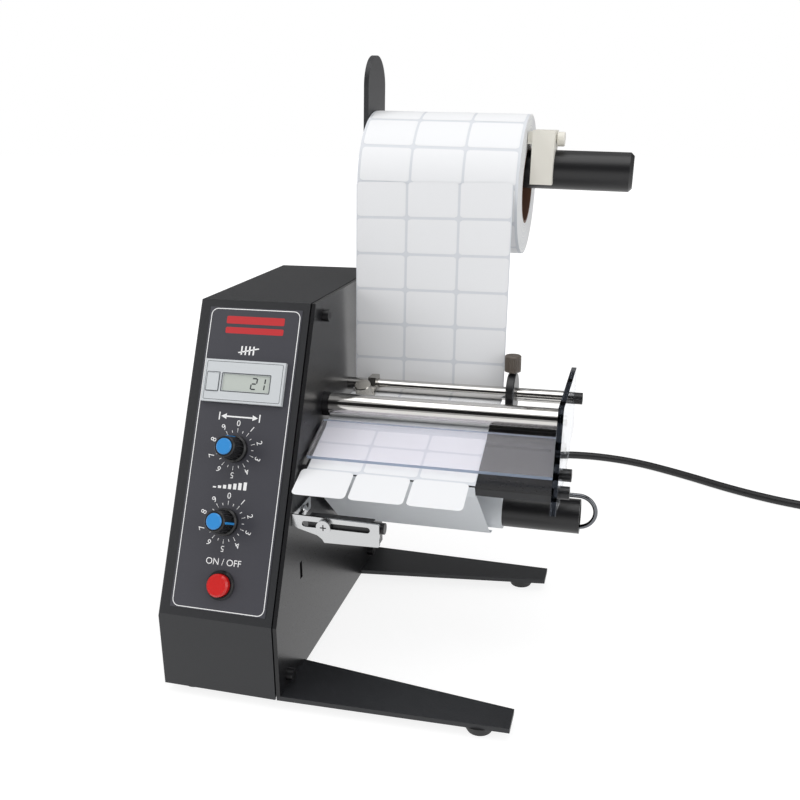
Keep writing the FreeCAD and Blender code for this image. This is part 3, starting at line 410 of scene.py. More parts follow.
# Bright parts: ground and chromed rod and nip roller, brushed stainless shafts and sensor screws,
# a turned nickel web guide and thumb screws, and the drawn steel hairpin that holds the spent liner.
def chrome():
    material, tree, shader = new_material("chrome_plate")
    shader.inputs["Base Color"].default_value = colour("#cfcdca")
    shader.inputs["Metallic"].default_value = 1
    grain(tree, shader, 2.0, 0.02, (0.06, 0.12))
    return material


def stainless(along):
    """Brushed sheet or bar, with the lines' number per metre along each axis."""
    material, tree, shader = new_material("brushed_stainless")
    shader.inputs["Base Color"].default_value = colour("#c9cacb")
    shader.inputs["Metallic"].default_value = 1
    place = add(tree, "ShaderNodeTexCoord")
    stretch = add(tree, "ShaderNodeMapping", {"Vector": place.outputs["Object"], "Scale": along})
    noise = add(tree, "ShaderNodeTexNoise", {"Vector": stretch.outputs[0], "Scale": 1.0, "Detail": 4.0})
    spread = add(tree, "ShaderNodeMapRange", {"Value": noise.outputs["Fac"], "To Min": 0.14, "To Max": 0.3})
    tree.links.new(spread.outputs["Result"], shader.inputs["Roughness"])
    bump = add(tree, "ShaderNodeBump", {"Height": noise.outputs["Fac"], "Strength": 0.08,
                                        "Distance": 0.0001})
    tree.links.new(bump.outputs["Normal"], shader.inputs["Normal"])
    return material


def plain_metal(name, code, low, high):
    """A turned or drawn metal between a low and a high roughness."""
    material, tree, shader = new_material(name)
    shader.inputs["Base Color"].default_value = colour(code)
    shader.inputs["Metallic"].default_value = 1
    grain(tree, shader, 0.8, 0.1, (low, high))
    return material


BRUSHED_ALONG_X = (40, 2500, 2500)
brushed = stainless(BRUSHED_ALONG_X)
dress(chrome(), "guide_rod", "pressure_roller")
dress(plain_metal("satin_nickel", "#b4b1ab", 0.18, 0.3), "left_thumb_screw", "left_guide")
dress(plain_metal("spring_steel", "#6d6f73", 0.14, 0.22), "wire_clip")
dress(brushed, "sensor_screws", "drive_shaft", "rewind_shaft")


# Plastic parts: knobs, tubes, collar and bushes of moulded black ABS, a stop of ivory nylon, coloured caps
# and keys, each with the fine spark grain of its mould. The dark thumb screw and the painted works are
# made the same way.
def plastic(name, code, rough, size_mm=0.6, depth=0.1):
    """Moulded plastic with its colour, roughness, and the size and depth of its grain."""
    material, tree, shader = new_material(name)
    shader.inputs["Base Color"].default_value = colour(code)
    shader.inputs["IOR"].default_value = 1.5
    grain(tree, shader, size_mm, depth, (rough - 0.05, rough + 0.05))
    return material


dress(plastic("black_abs", "#18181a", 0.35), "supply_tube", "rewind_tube", "right_collar", "label_sensor",
      "length_knob", "speed_knob", "power_bezel", "power_switch", "machine_screws", "shaft_bushes")
dress(plastic("ivory_nylon", "#efece2", 0.4), "roll_clip", "clip_screw")
blue_cap = plastic("blue_cap_abs", "#2f8fd8", 0.3)
dress(blue_cap, "length_knob_cap", "speed_knob_cap")
dress(plastic("red_button_abs", "#d2201f", 0.25), "power_button")
dress(plastic("light_grey_abs", "#cfd3d6", 0.35), "counter_body", "reset_button")
dress(plastic("lcd_window", "#c4cac4", 0.15), "counter_window")
dress(plastic("overlay_polyester", "#424249", 0.38, 0.3, 0.15), "panel_overlay")
dress(plastic("works_grey", "#9a9c9e", 0.4), "gear_motor", "power_supply", "dial_bushes", "length_knob_shaft",
      "speed_knob_shaft")
dress(plastic("board_green", "#1f5a35", 0.4), "control_board")
dress(plastic("dark_nickel", "#5a5148", 0.3), "right_thumb_screw")


# Liner, roll and core: a smooth glassine liner, bluish where it shows between the labels and where it returns
# bare, wound with its labels on a core of brown board.
def paper(name, code):
    """Paper or board with a faint fibrous grain."""
    material, tree, shader = new_material(name)
    shader.inputs["Base Color"].default_value = colour(code)
    grain(tree, shader, 0.4, 0.12, (0.55, 0.7))
    return material


dress(paper("glassine_liner", "#dfe2e7"), "label_web")
dress(paper("bare_liner", "#e4e8ec"), "liner_return", "wound_liner")


ROLL_AXIS_Y = 0.18245
ROLL_AXIS_Z = 0.2686
LAYERS_PER_METRE = 1300.0


def wound_stock():
    """The roll: bluish liner between the labels, and a white face of paper layers at each end.
    The layers are drawn coarser than real ones, so that they show."""
    material, tree, shader = new_material("wound_label_stock")
    place = add(tree, "ShaderNodeTexCoord")
    apart = add(tree, "ShaderNodeSeparateXYZ", {0: place.outputs["Object"]})
    across = add(tree, "ShaderNodeMath", {0: apart.outputs["Y"], 1: ROLL_AXIS_Y}, operation="SUBTRACT")
    above = add(tree, "ShaderNodeMath", {0: apart.outputs["Z"], 1: ROLL_AXIS_Z}, operation="SUBTRACT")
    flat = add(tree, "ShaderNodeCombineXYZ", {"X": across.outputs[0], "Y": above.outputs[0]})
    reach = add(tree, "ShaderNodeVectorMath", {0: flat.outputs[0]}, operation="LENGTH")
    layers = add(tree, "ShaderNodeTexNoise", {"W": reach.outputs["Value"], "Scale": LAYERS_PER_METRE,
                                              "Detail": 2.0}, noise_dimensions="1D")
    shade = add(tree, "ShaderNodeMapRange", {"Value": layers.outputs["Fac"], "From Min": 0.3,
                                             "From Max": 0.7})
    end_face = add(tree, "ShaderNodeMix", {"Factor": shade.outputs[0], 6: colour("#d9dce0"),
                                           7: colour("#f4f4f3")}, data_type="RGBA")
    facing = add(tree, "ShaderNodeSeparateXYZ", {0: place.outputs["Normal"]})
    sideways = add(tree, "ShaderNodeMath", {0: facing.outputs["X"]}, operation="ABSOLUTE")
    is_end = add(tree, "ShaderNodeMath", {0: sideways.outputs[0], 1: 0.5}, operation="GREATER_THAN")
    whole = add(tree, "ShaderNodeMix", {"Factor": is_end.outputs[0], 6: colour("#dfe2e7"),
                                        7: end_face.outputs[2]}, data_type="RGBA")
    tree.links.new(whole.outputs[2], shader.inputs["Base Color"])
    grain(tree, shader, 0.4, 0.1, (0.55, 0.7))
    return material


dress(wound_stock(), "label_roll")
dress(paper("brown_board", "#6b4a38"), "roll_core")


# Clear cover and end plate: cast acrylic sheet, sawn and left unpolished at the edges.
# The faces are clear, the cover's with a haze of fine scratches. The cover's front edge is frosted, and the
# end plate's edge is tinted dark, painted shade for the dark line that its sawn edge shows.
END_PLATE_MIDDLE = 0.1385
END_PLATE_INSIDE = 0.00142


def acrylic(name, tint, edge, bending, haze, frosting, edge_test):
    """Clear sheet with haze. The edge test gives the factor for the edge's colour and frosting."""
    material, tree, shader = new_material(name)
    shader.inputs["Roughness"].default_value = 0.03
    shader.inputs["IOR"].default_value = bending
    place = add(tree, "ShaderNodeTexCoord")
    at_edge = edge_test(tree, place)
    clear = add(tree, "ShaderNodeMath", {0: at_edge, 1: -frosting, 2: 1 - haze},
                operation="MULTIPLY_ADD")
    tree.links.new(clear.outputs[0], shader.inputs["Transmission Weight"])
    shade = add(tree, "ShaderNodeMix", {"Factor": at_edge, 6: colour(tint), 7: colour(edge)},
                data_type="RGBA")
    tree.links.new(shade.outputs[2], shader.inputs["Base Color"])
    return material


def inside_end_plate(tree, place):
    """Between the end plate's two faces, which are square to X."""
    apart = add(tree, "ShaderNodeSeparateXYZ", {0: place.outputs["Object"]})
    off = add(tree, "ShaderNodeMath", {0: apart.outputs["X"], 1: END_PLATE_MIDDLE},
              operation="SUBTRACT")
    far = add(tree, "ShaderNodeMath", {0: off.outputs[0]}, operation="ABSOLUTE")
    return add(tree, "ShaderNodeMath", {0: far.outputs[0], 1: END_PLATE_INSIDE},
               operation="LESS_THAN").outputs[0]


def faces_forward(tree, place):
    """The cover's sawn front edge, which looks forward and down along the slope."""
    apart = add(tree, "ShaderNodeSeparateXYZ", {0: place.outputs["Normal"]})
    return add(tree, "ShaderNodeMath", {0: apart.outputs["Y"], 1: -0.8}, operation="LESS_THAN").outputs[0]


dress(acrylic("clear_cast_acrylic", "#f8f7fb", "#a9b6cc", 1.25, 0.1, 0.7, faces_forward), "clear_cover")
# The end plate's edge band is tinted near-black: painted shade for the dark line of its sawn edge.
dress(acrylic("end_plate_acrylic", "#f1f5fc", "#2a2d33", 1.3, 0.0, 0.0, inside_end_plate), "end_plate")


# Printed control panel: a polyester overlay over the sloped face, screen printed in white with a border, dial
# scales and plain signs: a tally for the counter, an arrow for the length, rising bars for the speed.
# Two plain red bars fill the title's place. Sizes on the panel are in millimetres across and up the slope.
PANEL_SLOPE = math.atan2(78.5, 159.0)
PANEL_PLACE = Matrix(((1, 0, 0, -0.0695), (0, math.sin(PANEL_SLOPE), -math.cos(PANEL_SLOPE), 0),
                      (0, math.cos(PANEL_SLOPE), math.sin(PANEL_SLOPE), 0.0505), (0, 0, 0, 1)))
PRINT_HEIGHT = 0.34
DIALS = {"length": (33.0, 92.9), "speed": (33.0, 52.7)}
TALLY_STROKE = [(28.6, 146.0), (29.5, 146.0), (29.5, 151.0), (28.6, 151.0)]
TALLY_STEP = 2.4
TALLY_BAR = [(26.8, 147.4), (27.4, 146.8), (39.6, 149.6), (39.0, 150.2)]
LENGTH_ARROW = [
    [(24.4, 110.4), (41.6, 110.4), (41.6, 111.2), (24.4, 111.2)],
    [(22.0, 110.8), (25.2, 109.2), (25.2, 112.4)], [(44.0, 110.8), (40.8, 112.4), (40.8, 109.2)],
    [(20.6, 108.6), (21.3, 108.6), (21.3, 113.0), (20.6, 113.0)],
    [(44.7, 108.6), (45.4, 108.6), (45.4, 113.0), (44.7, 113.0)],
]
SPEED_BARS = 7
SPEED_BAR_START = 22.6
SPEED_BAR_STEP = 3.0
SPEED_BAR_WIDE = 1.9
SPEED_BAR_FOOT = 70.8
NUMERAL_SIZE = 4.7
NUMERAL_RING = 14.3


def rounded(low_u, low_w, high_u, high_w, radius, steps=6):
    """The corners of a rounded rectangle on the panel, in millimetres."""
    loop = []
    centres = ((high_u - radius, high_w - radius, 0), (low_u + radius, high_w - radius, 90),
               (low_u + radius, low_w + radius, 180), (high_u - radius, low_w + radius, 270))
    for centre_u, centre_w, first in centres:
        for step in range(steps + 1):
            angle = math.radians(first + 90 * step / steps)
            loop.append((centre_u + radius * math.cos(angle), centre_w + radius * math.sin(angle)))
    return loop


def outline_ring(low_u, low_w, high_u, high_w, radius, wide):
    """A line of even width round a rounded rectangle, as four-sided faces."""
    outer = rounded(low_u, low_w, high_u, high_w, radius)
    inner = rounded(low_u + wide, low_w + wide, high_u - wide, high_w - wide, max(radius - wide, 0.05))
    count = len(outer)
    return [[outer[i], outer[(i + 1) % count], inner[(i + 1) % count], inner[i]] for i in range(count)]


def flat_print(name, outlines, height):
    """Outlines on the panel, in millimetres, as one flat mesh at a height above the slope."""
    points = []
    faces = []
    for outline in outlines:
        faces.append(list(range(len(points), len(points) + len(outline))))
        points += [(u / 1000, w / 1000, height / 1000) for u, w in outline]
    mesh = bpy.data.meshes.new(name)
    mesh.from_pydata(points, [], faces)
    mesh.transform(PANEL_PLACE)
    return mesh


def lettering(body, size, u, w, height, turn=0.0):
    """Numbers or ON and OFF in a plain sans face, as a flat mesh on the panel, turned clockwise."""
    text = bpy.data.curves.new("lettering", "FONT")
    text.body = body
    text.size = size / 1000
    text.align_x = "CENTER"
    text.align_y = "CENTER"
    item = bpy.data.objects.new("lettering", text)
    mesh = bpy.data.meshes.new_from_object(item)
    mesh.transform(PANEL_PLACE @ Matrix.Translation((u / 1000, w / 1000, height / 1000))
                   @ Matrix.Rotation(-turn, 4, "Z"))
    bpy.data.objects.remove(item)
    bpy.data.curves.remove(text)
    return mesh


def joined(name, meshes):
    """Several meshes as one, which takes their place."""
    shape = bmesh.new()
    for mesh in meshes:
        shape.from_mesh(mesh)
        bpy.data.meshes.remove(mesh)
    whole = bpy.data.meshes.new(name)
    shape.to_mesh(whole)
    shape.free()
    return whole


def ink(name, code):
    """Screen ink, or another thin matt mark."""
    material, tree, shader = new_material(name)
    shader.inputs["Base Color"].default_value = colour(code)
    grain(tree, shader, 0.5, 0.08, (0.4, 0.55))
    return material


white_ink = ink("white_screen_ink", "#fafafa")
red_ink = ink("red_screen_ink", "#c3262c")
signs = outline_ring(7.6, 5.0, 61.6, 172.3, 4.0, 0.45)
for tally in range(4):
    signs.append([(u + tally * TALLY_STEP, w) for u, w in TALLY_STROKE])
signs.append(TALLY_BAR)
signs += LENGTH_ARROW
for step in range(SPEED_BARS):
    left = SPEED_BAR_START + step * SPEED_BAR_STEP
    top = SPEED_BAR_FOOT + 0.8 + step * 0.6
    signs.append([(left, SPEED_BAR_FOOT), (left + SPEED_BAR_WIDE, SPEED_BAR_FOOT),
                  (left + SPEED_BAR_WIDE, top), (left, top)])
prints = [flat_print("signs", signs, PRINT_HEIGHT)]
for centre_u, centre_w in DIALS.values():
    for number in range(10):
        angle = math.radians(36 * number)
        prints.append(lettering(str(number), NUMERAL_SIZE, centre_u + NUMERAL_RING * math.sin(angle),
                                centre_w + NUMERAL_RING * math.cos(angle), PRINT_HEIGHT, angle))
prints.append(lettering("ON / OFF", 5.0, 34.7, 31.0, PRINT_HEIGHT))
piece("panel_print", joined("panel_print", prints), white_ink, "case")
title = [rounded(17.6, 163.6, 52.6, 168.0, 0.8), rounded(17.6, 158.0, 52.6, 161.6, 0.8)]
piece("title_bars", flat_print("title_bars", title, PRINT_HEIGHT), red_ink, "case")


# Dial scales: ticks round each knob, printed with the panel, ten long ones at the numerals and a short one
# between each two. The short ring's other ticks lie under the long ones.
TICK_RINGS = {"long_ticks": (10, 0.0105, 0.0023, 0.00036), "short_ticks": (20, 0.0101, 0.0013, 0.00034)}


def grown(name, inputs, build, base=None):
    """A node tree's result as a plain mesh. The tree's sizes and its material are its named inputs."""
    tree = bpy.data.node_groups.new(name, "GeometryNodeTree")
    tree.interface.new_socket("Geometry", in_out="OUTPUT", socket_type="NodeSocketGeometry")
    tree.interface.new_socket("Base", in_out="INPUT", socket_type="NodeSocketGeometry")
    for label, value in inputs.items():
        kind = "NodeSocketInt" if isinstance(value, int) else "NodeSocketFloat"
        if isinstance(value, bpy.types.Material):
            kind = "NodeSocketMaterial"
        tree.interface.new_socket(label, in_out="INPUT", socket_type=kind)
    source = tree.nodes.new("NodeGroupInput")
    shape = build(tree, source.outputs)
    solid = add(tree, "GeometryNodeRealizeInstances", {"Geometry": shape})
    done = add(tree, "GeometryNodeSetMaterial", {"Geometry": solid.outputs[0],
                                                 "Material": source.outputs["Finish"]})
    add(tree, "NodeGroupOutput", {"Geometry": done.outputs[0]})
    item = bpy.data.objects.new(name, base or bpy.data.meshes.new(name))
    bpy.context.collection.objects.link(item)
    modifier = item.modifiers.new(name, "NODES")
    modifier.node_group = tree
    for socket in tree.interface.items_tree:
        if socket.in_out == "INPUT" and socket.name in inputs:
            modifier[socket.identifier] = inputs[socket.name]
    mesh = bpy.data.meshes.new_from_object(item.evaluated_get(bpy.context.evaluated_depsgraph_get()))
    item.modifiers.remove(modifier)
    bpy.data.objects.remove(item)
    return mesh


def tick_ring(tree, sizes):
    """Bars pointing outwards, evenly round a circle."""
    ring = add(tree, "GeometryNodeMeshCircle", {"Vertices": sizes["Count"],
                                                "Radius": sizes["Middle Radius"]})
    bar = add(tree, "GeometryNodeMeshGrid", {"Size X": sizes["Length"], "Size Y": sizes["Width"],
                                             "Vertices X": 2, "Vertices Y": 2})
    at = add(tree, "GeometryNodeInputPosition")
    aim = add(tree, "FunctionNodeAlignRotationToVector", {"Vector": at.outputs[0]}, axis="X", pivot_axis="Z")
    ticks = add(tree, "GeometryNodeInstanceOnPoints", {"Points": ring.outputs[0], "Instance": bar.outputs[0],
                                                       "Rotation": aim.outputs[0]})
    return ticks.outputs[0]


for dial, (centre_u, centre_w) in DIALS.items():
    spot = PANEL_PLACE @ Matrix.Translation((centre_u / 1000, centre_w / 1000, PRINT_HEIGHT / 1000))
    spot = spot @ Matrix.Rotation(math.radians(90), 4, "Z")
    rings = []
    for ring_name, (count, middle, length, width) in TICK_RINGS.items():
        rings.append(grown(ring_name, {"Count": count, "Middle Radius": middle, "Length": length,
                                       "Width": width, "Finish": white_ink}, tick_ring))
    scale_mesh = joined(dial + "_scale", rings)
    scale_mesh.transform(spot)
    piece(dial + "_scale", scale_mesh, white_ink, "case")


# Knob pointers: a blue rib moulded with the cap, which runs down the knob's tapered side.
# The first knob stands near 0 and the second near 2.6. The rib's side is given out from the axis and up.
POINTER_TURNS = {"length": 0.05, "speed": 2.6}
POINTER_HALF_WIDE = 0.6
POINTER_SIDE = [(0.0, 14.85), (4.6, 14.85), (6.15, 13.9), (6.85, 4.2), (6.1, 4.2), (5.2, 13.2), (0.0, 14.2)]


def pointer_rib(name, half_wide):
    """The rib as a closed mesh, from its side outline and its width, standing on the panel's centre."""
    shape = bmesh.new()
    sides = []
    for across in (-half_wide, half_wide):
        places = [(across / 1000, out / 1000, lift / 1000) for out, lift in POINTER_SIDE]
        sides.append([shape.verts.new(place) for place in places])
    shape.faces.new(sides[0])
    shape.faces.new(reversed(sides[1]))
    count = len(POINTER_SIDE)
    for i in range(count):
        shape.faces.new([sides[0][i], sides[1][i], sides[1][(i + 1) % count], sides[0][(i + 1) % count]])
    bmesh.ops.recalc_face_normals(shape, faces=shape.faces)
    mesh = bpy.data.meshes.new(name)
    shape.to_mesh(mesh)
    shape.free()
    return mesh


for dial, turn in POINTER_TURNS.items():
    centre_u, centre_w = DIALS[dial]
    rib = pointer_rib(dial + "_pointer", POINTER_HALF_WIDE)
    rib.transform(PANEL_PLACE @ Matrix.Translation((centre_u / 1000, centre_w / 1000, 0))
                  @ Matrix.Rotation(-math.radians(36 * turn), 4, "Z"))
    piece(dial + "_pointer", rib, blue_cap, dial + "_dial")


# Counter display: a snapped-in grey case and a liquid crystal panel that shows a count in dark seven-segment
# figures.
# A fine dark line round the case, its window and its reset key is painted shade in the seams.
COUNTER_FACE = 3.03
WINDOW_FACE = 2.24
FIGURE_FOOT = 126.2
FIGURE_SIZE = (3.9, 6.8, 0.75)
FIGURE_LEAN = 0.08
# Painted shade in the seams round the case, the window and the reset key.
seam_shade_ink = ink("painted_seam_shade", "#3b3f45")
case_line = outline_ring(10.6, 119.4, 56.4, 141.2, 0.8, 0.25)
window_line = outline_ring(20.4, 124.2, 49.9, 135.0, 0.6, 0.5)
key_line = outline_ring(11.3, 124.0, 19.3, 135.2, 0.6, 0.35)
piece("counter_lines", flat_print("counter_lines", case_line + window_line + key_line, COUNTER_FACE),
      seam_shade_ink, "case")
SEGMENTS = {"1": "bc", "2": "abged"}


def figure(number, left):
    """The lit bars of one seven-segment figure, leaning a little to the right."""
    wide, tall, thick = FIGURE_SIZE
    middle = tall / 2
    spans = {
        "a": (thick, tall - thick, wide - thick, tall), "d": (thick, 0, wide - thick, thick),
        "g": (thick, middle - thick / 2, wide - thick, middle + thick / 2),
        "b": (wide - thick, middle + thick / 2, wide, tall - thick / 2),
        "c": (wide - thick, thick / 2, wide, middle - thick / 2),
        "e": (0, thick / 2, thick, middle - thick / 2), "f": (0, middle + thick / 2, thick, tall - thick / 2),
    }
    lit = []
    for segment in SEGMENTS[number]:
        u0, w0, u1, w1 = spans[segment]
        corners = ((u0, w0), (u1, w0), (u1, w1), (u0, w1))
        lit.append([(left + u + w * FIGURE_LEAN, FIGURE_FOOT + w) for u, w in corners])
    return lit


figures = flat_print("counter_figures", figure("2", 37.6) + figure("1", 42.4), WINDOW_FACE)
piece("counter_figures", figures, ink("lcd_dark_figure", "#2c3134"), "case")


# Screw drives: the socket head screws in the side plate and end plate are black oxide steel, each with a
# hexagon socket. The pan head screw that clamps the label sensor has a cross.
# Each socket and the cross are flat near-black pieces: painted shade for their recesses.
SCREW_SPOTS = [(4.0, 12.0, 15.3), (4.0, 90.3, 200.5), (4.0, 192.0, 90.0), (4.0, 165.5, 15.3),
               (145.0, 132.6, 148.0), (145.0, 70.0, 124.0), (145.0, 60.0, 118.0)]


def sockets(tree, sizes):
    """A six-sided socket floor at each screw, facing along X, which is painted shade for the socket's recess.
    """
    hexagon = add(tree, "GeometryNodeMeshCylinder", {"Vertices": 6, "Radius": sizes["Socket Radius"],
                                                     "Depth": sizes["Depth"]})
    spread = add(tree, "GeometryNodeInstanceOnPoints", {"Points": sizes["Base"],
                                                        "Instance": hexagon.outputs[0],
                                                        "Rotation": (0, math.pi / 2, 0)})
    return spread.outputs[0]


spots = bpy.data.meshes.new("screw_spots")
spots.from_pydata([(x / 1000, y / 1000, z / 1000) for x, y, z in SCREW_SPOTS], [], [])
# Near-black, painted shade for the recesses of the sockets and of the sensor screw's cross.
painted_socket_shade = ink("socket_shadow", "#050506")
socket_mesh = grown("hexagon_sockets", {"Socket Radius": 0.0019, "Depth": 0.0002, "Finish": painted_socket_shade},
                    sockets, spots)
piece("screw_sockets", socket_mesh, painted_socket_shade, "case")
cross = bars("sensor_screw_cross", [((0.0172, 0.02542, 0.0992), (0.0206, 0.0256, 0.0998)),
                                    ((0.0186, 0.02542, 0.0978), (0.0192, 0.0256, 0.1012))], 0)
piece("sensor_screw_cross", cross, painted_socket_shade, "sensor_mount")


# Sensor bracket: folded stainless strip. Its front leaf is slotted, to set the label sensor across the web,
# and its side leaf is slotted and screwed to the side plate. Outlines are in millimetres.
LEAF_WALL = 1.2
FRONT_LEAF_MIDDLE = 0.0286
SIDE_LEAF_MIDDLE = 0.0009
FRONT_LEAF = [(0.3, 104.5), (0.3, 98.0), (3.5, 96.6), (14.5, 93.6), (17.2, 91.6), (18.4, 89.6),
              (48.6, 90.3), (49.4, 91.1), (49.4, 103.0), (48.8, 103.5)]
SIDE_LEAF = [(29.2, 104.5), (29.2, 97.0), (53.0, 97.0), (54.0, 98.0), (54.0, 103.5), (53.0, 104.5)]
SIDE_SCREW_PROFILE = [(0, 0), (0, 0.0030), (0.0008, 0.0030), (0.0016, 0.0024), (0.0020, 0.0012), (0.0021, 0)]


def long_slot(start, end, height, radius, steps=8):
    """The outline of a slot with round ends, from one end's centre to the other's."""
    loop = []
    for centre, first in ((end, -90), (start, 90)):
        for step in range(steps + 1):
            angle = math.radians(first + 180 * step / steps)
            loop.append((centre + radius * math.cos(angle), height + radius * math.sin(angle)))
    return loop


def slotted_leaf(name, loops):
    """A flat plate with its openings, in its own plane and centred on it."""
    plate = bpy.data.curves.new(name, "CURVE")
    plate.dimensions = "2D"
    plate.fill_mode = "BOTH"
    plate.extrude = LEAF_WALL / 2000
    for loop in loops:
        spline = plate.splines.new("POLY")
        spline.points.add(len(loop) - 1)
        for point, (x, y) in zip(spline.points, loop):
            point.co = (x / 1000, y / 1000, 0, 1)
        spline.use_cyclic_u = True
    item = bpy.data.objects.new(name, plate)
    mesh = bpy.data.meshes.new_from_object(item)
    bpy.data.objects.remove(item)
    return mesh


front_leaf = slotted_leaf("front_leaf", [FRONT_LEAF, long_slot(7.6, 42.6, 99.6, 1.7)])
upright = Matrix.Rotation(math.radians(90), 4, "X")
front_leaf.transform(Matrix.Translation((0, FRONT_LEAF_MIDDLE, 0)) @ upright)
side_leaf = slotted_leaf("side_leaf", [SIDE_LEAF, long_slot(36.0, 49.0, 100.7, 1.6)])
sideways = Matrix(((0, 0, 1, 0), (1, 0, 0, 0), (0, 1, 0, 0), (0, 0, 0, 1)))
side_leaf.transform(Matrix.Translation((SIDE_LEAF_MIDDLE, 0, 0)) @ sideways)
folded = joined("slotted_bracket", [front_leaf, side_leaf])
bracket = piece("slotted_bracket", folded, brushed, "sensor_mount")
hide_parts("sensor_bracket")
side_screw = lathe("bracket_side_screw", SIDE_SCREW_PROFILE, (0.0015, 0.0425, 0.1007), (1, 0, 0))
piece("bracket_side_screw", side_screw, brushed, "sensor_mount")


# Die-cut labels: white paper, three across, 30 by 20 millimetres with rounded corners. The liner shows
# between them as a fine bluish line on the roll, down the web, under the clear cover and over the table.
# The front row has come off the liner at the peel bar.
LABEL_WIDE = 0.030
LABEL_TALL = 0.020
LABEL_STEP = 0.0315
ROW_STEP = 0.0215
LABEL_PROUD = 0.00008
FLAT_BEND = 1000.0
label_stock = paper("die_cut_label_paper", "#f3f4f6")


def label_grid(tree, sizes):
    """Rounded labels in columns and rows, bent round a roller of the bend radius."""
    blank = add(tree, "GeometryNodeMeshGrid", {"Size X": sizes["Wide"], "Size Y": sizes["Tall"],
                                               "Vertices X": 5, "Vertices Y": 41})
    at = add(tree, "GeometryNodeInputPosition")
    split = add(tree, "ShaderNodeSeparateXYZ", {0: at.outputs[0]})
    high = add(tree, "ShaderNodeMath", {0: split.outputs["Y"]}, operation="ABSOLUTE")
    half = add(tree, "ShaderNodeMath", {0: sizes["Tall"], 1: 0.5}, operation="MULTIPLY")
    start = add(tree, "ShaderNodeMath", {0: half.outputs[0], 1: sizes["Corner"]}, operation="SUBTRACT")
    past = add(tree, "ShaderNodeMath", {0: high.outputs[0], 1: start.outputs[0]}, operation="SUBTRACT")
    into = add(tree, "ShaderNodeMath", {0: past.outputs[0], 1: 0.0}, operation="MAXIMUM")
    into_square = add(tree, "ShaderNodeMath", {0: into.outputs[0], 1: into.outputs[0]}, operation="MULTIPLY")
    corner_square = add(tree, "ShaderNodeMath", {0: sizes["Corner"], 1: sizes["Corner"]},
                        operation="MULTIPLY")
    rest = add(tree, "ShaderNodeMath", {0: corner_square.outputs[0], 1: into_square.outputs[0]},
               operation="SUBTRACT")
    reach = add(tree, "ShaderNodeMath", {0: rest.outputs[0]}, operation="SQRT")
    pulled = add(tree, "ShaderNodeMath", {0: sizes["Corner"], 1: reach.outputs[0]}, operation="SUBTRACT")
    share = add(tree, "ShaderNodeMath", {0: pulled.outputs[0], 1: sizes["Wide"]}, operation="DIVIDE")
    narrow = add(tree, "ShaderNodeMath", {0: share.outputs[0], 1: -2.0, 2: 1.0}, operation="MULTIPLY_ADD")
    across = add(tree, "ShaderNodeMath", {0: split.outputs["X"], 1: narrow.outputs[0]},
                 operation="MULTIPLY")
    round_place = add(tree, "ShaderNodeCombineXYZ", {"X": across.outputs[0], "Y": split.outputs["Y"]})
    label = add(tree, "GeometryNodeSetPosition", {"Geometry": blank.outputs[0],
                                                  "Position": round_place.outputs[0]})
    last_column = add(tree, "ShaderNodeMath", {0: sizes["Columns"], 1: 1.0}, operation="SUBTRACT")
    last_row = add(tree, "ShaderNodeMath", {0: sizes["Rows"], 1: 1.0}, operation="SUBTRACT")
    span_x = add(tree, "ShaderNodeMath", {0: last_column.outputs[0], 1: sizes["Column Step"]},
                 operation="MULTIPLY")
    span_y = add(tree, "ShaderNodeMath", {0: last_row.outputs[0], 1: sizes["Row Step"]},
                 operation="MULTIPLY")
    spots_grid = add(tree, "GeometryNodeMeshGrid", {"Size X": span_x.outputs[0], "Size Y": span_y.outputs[0],
                                                    "Vertices X": sizes["Columns"],
                                                    "Vertices Y": sizes["Rows"]})
    laid = add(tree, "GeometryNodeInstanceOnPoints", {"Points": spots_grid.outputs[0],
                                                      "Instance": label.outputs[0]})
    real = add(tree, "GeometryNodeRealizeInstances", {"Geometry": laid.outputs[0]})
    where = add(tree, "GeometryNodeInputPosition")
    apart = add(tree, "ShaderNodeSeparateXYZ", {0: where.outputs[0]})
    angle = add(tree, "ShaderNodeMath", {0: apart.outputs["Y"], 1: sizes["Bend Radius"]}, operation="DIVIDE")
    sine = add(tree, "ShaderNodeMath", {0: angle.outputs[0]}, operation="SINE")
    cosine = add(tree, "ShaderNodeMath", {0: angle.outputs[0]}, operation="COSINE")
    along = add(tree, "ShaderNodeMath", {0: sine.outputs[0], 1: sizes["Bend Radius"]}, operation="MULTIPLY")
    less = add(tree, "ShaderNodeMath", {0: cosine.outputs[0], 1: 1.0}, operation="SUBTRACT")
    dip = add(tree, "ShaderNodeMath", {0: less.outputs[0], 1: sizes["Bend Radius"]}, operation="MULTIPLY")
    bent = add(tree, "ShaderNodeCombineXYZ", {"X": apart.outputs["X"], "Y": along.outputs[0],
                                              "Z": dip.outputs[0]})
    wrapped = add(tree, "GeometryNodeSetPosition", {"Geometry": real.outputs[0], "Position": bent.outputs[0]})
    return wrapped.outputs[0]


def labels(name, body, place, rows, tall=LABEL_TALL, step=LABEL_STEP, row_step=ROW_STEP, bend=FLAT_BEND,
           corner=0.0018):
    """Labels in three columns at a place, on a body, flat unless they are bent round a roller."""
    sheet = grown(name, {"Wide": LABEL_WIDE, "Tall": tall, "Corner": corner, "Columns": 3, "Rows": rows,
                         "Column Step": step, "Row Step": row_step, "Bend Radius": bend,
                         "Finish": label_stock}, label_grid)
    sheet.transform(place)
    return piece(name, sheet, label_stock, body)


def basis(x_axis, y_axis, z_axis, origin):
    """A place from its three directions and its origin."""
    return Matrix.Translation(origin) @ Matrix((x_axis, y_axis, z_axis)).transposed().to_4x4()


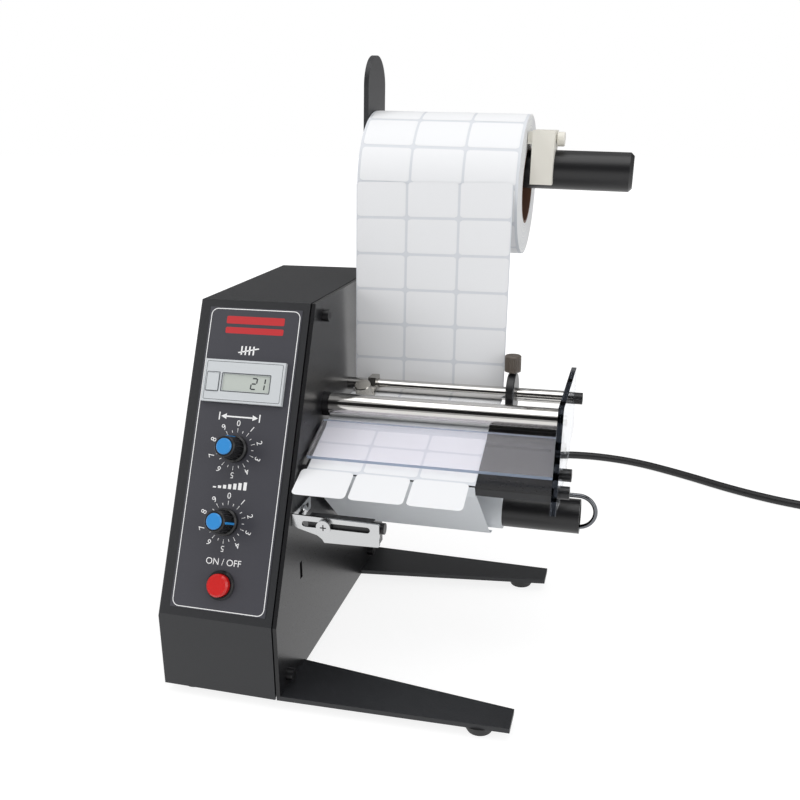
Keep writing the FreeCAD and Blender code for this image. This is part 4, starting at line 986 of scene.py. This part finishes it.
ARM_LEAN = math.radians(1.74)
ARM_BEND_HEIGHT = 0.190
ROLL_CENTRE = (0.05155, ROLL_AXIS_Y, 0.2702)
ROLL_LABEL_RADIUS = 0.0415 + LABEL_PROUD
FIRST_ROW_TURN = math.radians(90) - 0.0014 / ROLL_LABEL_RADIUS
leaned = Matrix.Rotation(ARM_LEAN, 4, "Y") @ Matrix.Translation((0, 0, -ARM_BEND_HEIGHT))
leaned = Matrix.Translation((0, 0, ARM_BEND_HEIGHT)) @ leaned
roll_place = leaned @ Matrix.Translation(ROLL_CENTRE) @ Matrix.Rotation(FIRST_ROW_TURN, 4, "X")
roll_place = roll_place @ Matrix.Translation((0, 0, ROLL_LABEL_RADIUS))
labels("roll_labels", "supply_roll", roll_place, 12, row_step=2 * math.pi * ROLL_LABEL_RADIUS / 12,
       bend=ROLL_LABEL_RADIUS)
WEB_MIDDLE = 0.0502
WEB_ASIDE = 0.0199
WEB_BACK = 0.0270
WEB_FOOT = (WEB_MIDDLE, 0.13695 - LABEL_PROUD, 0.148)
WEB_FRONT = ((1, 0, 0), (WEB_ASIDE, WEB_BACK, 1), (0, -1, WEB_BACK))
NIP_RISE = 0.0444
NIP_TOP = ((1, 0, 0), (0, 1, NIP_RISE), (0, -NIP_RISE, 1))


def web_origin(height):
    """The middle of the web's front at a height above the bench."""
    above = height - WEB_FOOT[2]
    return (WEB_FOOT[0] + WEB_ASIDE * above, WEB_FOOT[1] + WEB_BACK * above, height)


labels("web_labels", "case", basis(*WEB_FRONT, web_origin(0.21835)), 5)
labels("web_foot_labels", "case", basis(*WEB_FRONT, web_origin(0.1559)), 1, tall=0.0158)
labels("nip_labels", "case", basis(*NIP_TOP, (WEB_MIDDLE, 0.111, 0.14278)), 2)
TABLE_FRONT = (0.0446, 0.1230)
TABLE_SLOPE = math.radians(21.3)
TABLE = ((1, 0, 0), (0, math.cos(TABLE_SLOPE), math.sin(TABLE_SLOPE)),
         (0, -math.sin(TABLE_SLOPE), math.cos(TABLE_SLOPE)))


def table_point(x, run, lift):
    """A point over the sloped table, by its run up the slope and its lift off it."""
    return (x, TABLE_FRONT[0] + run * math.cos(TABLE_SLOPE) - lift * math.sin(TABLE_SLOPE),
            TABLE_FRONT[1] + run * math.sin(TABLE_SLOPE) + lift * math.cos(TABLE_SLOPE))


WEB_TOP = 0.00068
labels("table_labels", "case", basis(*TABLE, table_point(WEB_MIDDLE, 0.0126, WEB_TOP)), 1)
labels("table_back_labels", "case", basis(*TABLE, table_point(WEB_MIDDLE, 0.0303, WEB_TOP)), 1, tall=0.0124)
free = labels("free_labels", "case", basis(*TABLE, table_point(0.0475, -0.009, 0.0010)), 1, step=0.0317,
              corner=0.0026)
thickness = free.modifiers.new("paper_thickness", "SOLIDIFY")
thickness.thickness = 0.0002
thickness.offset = 0
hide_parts("peeled_labels")
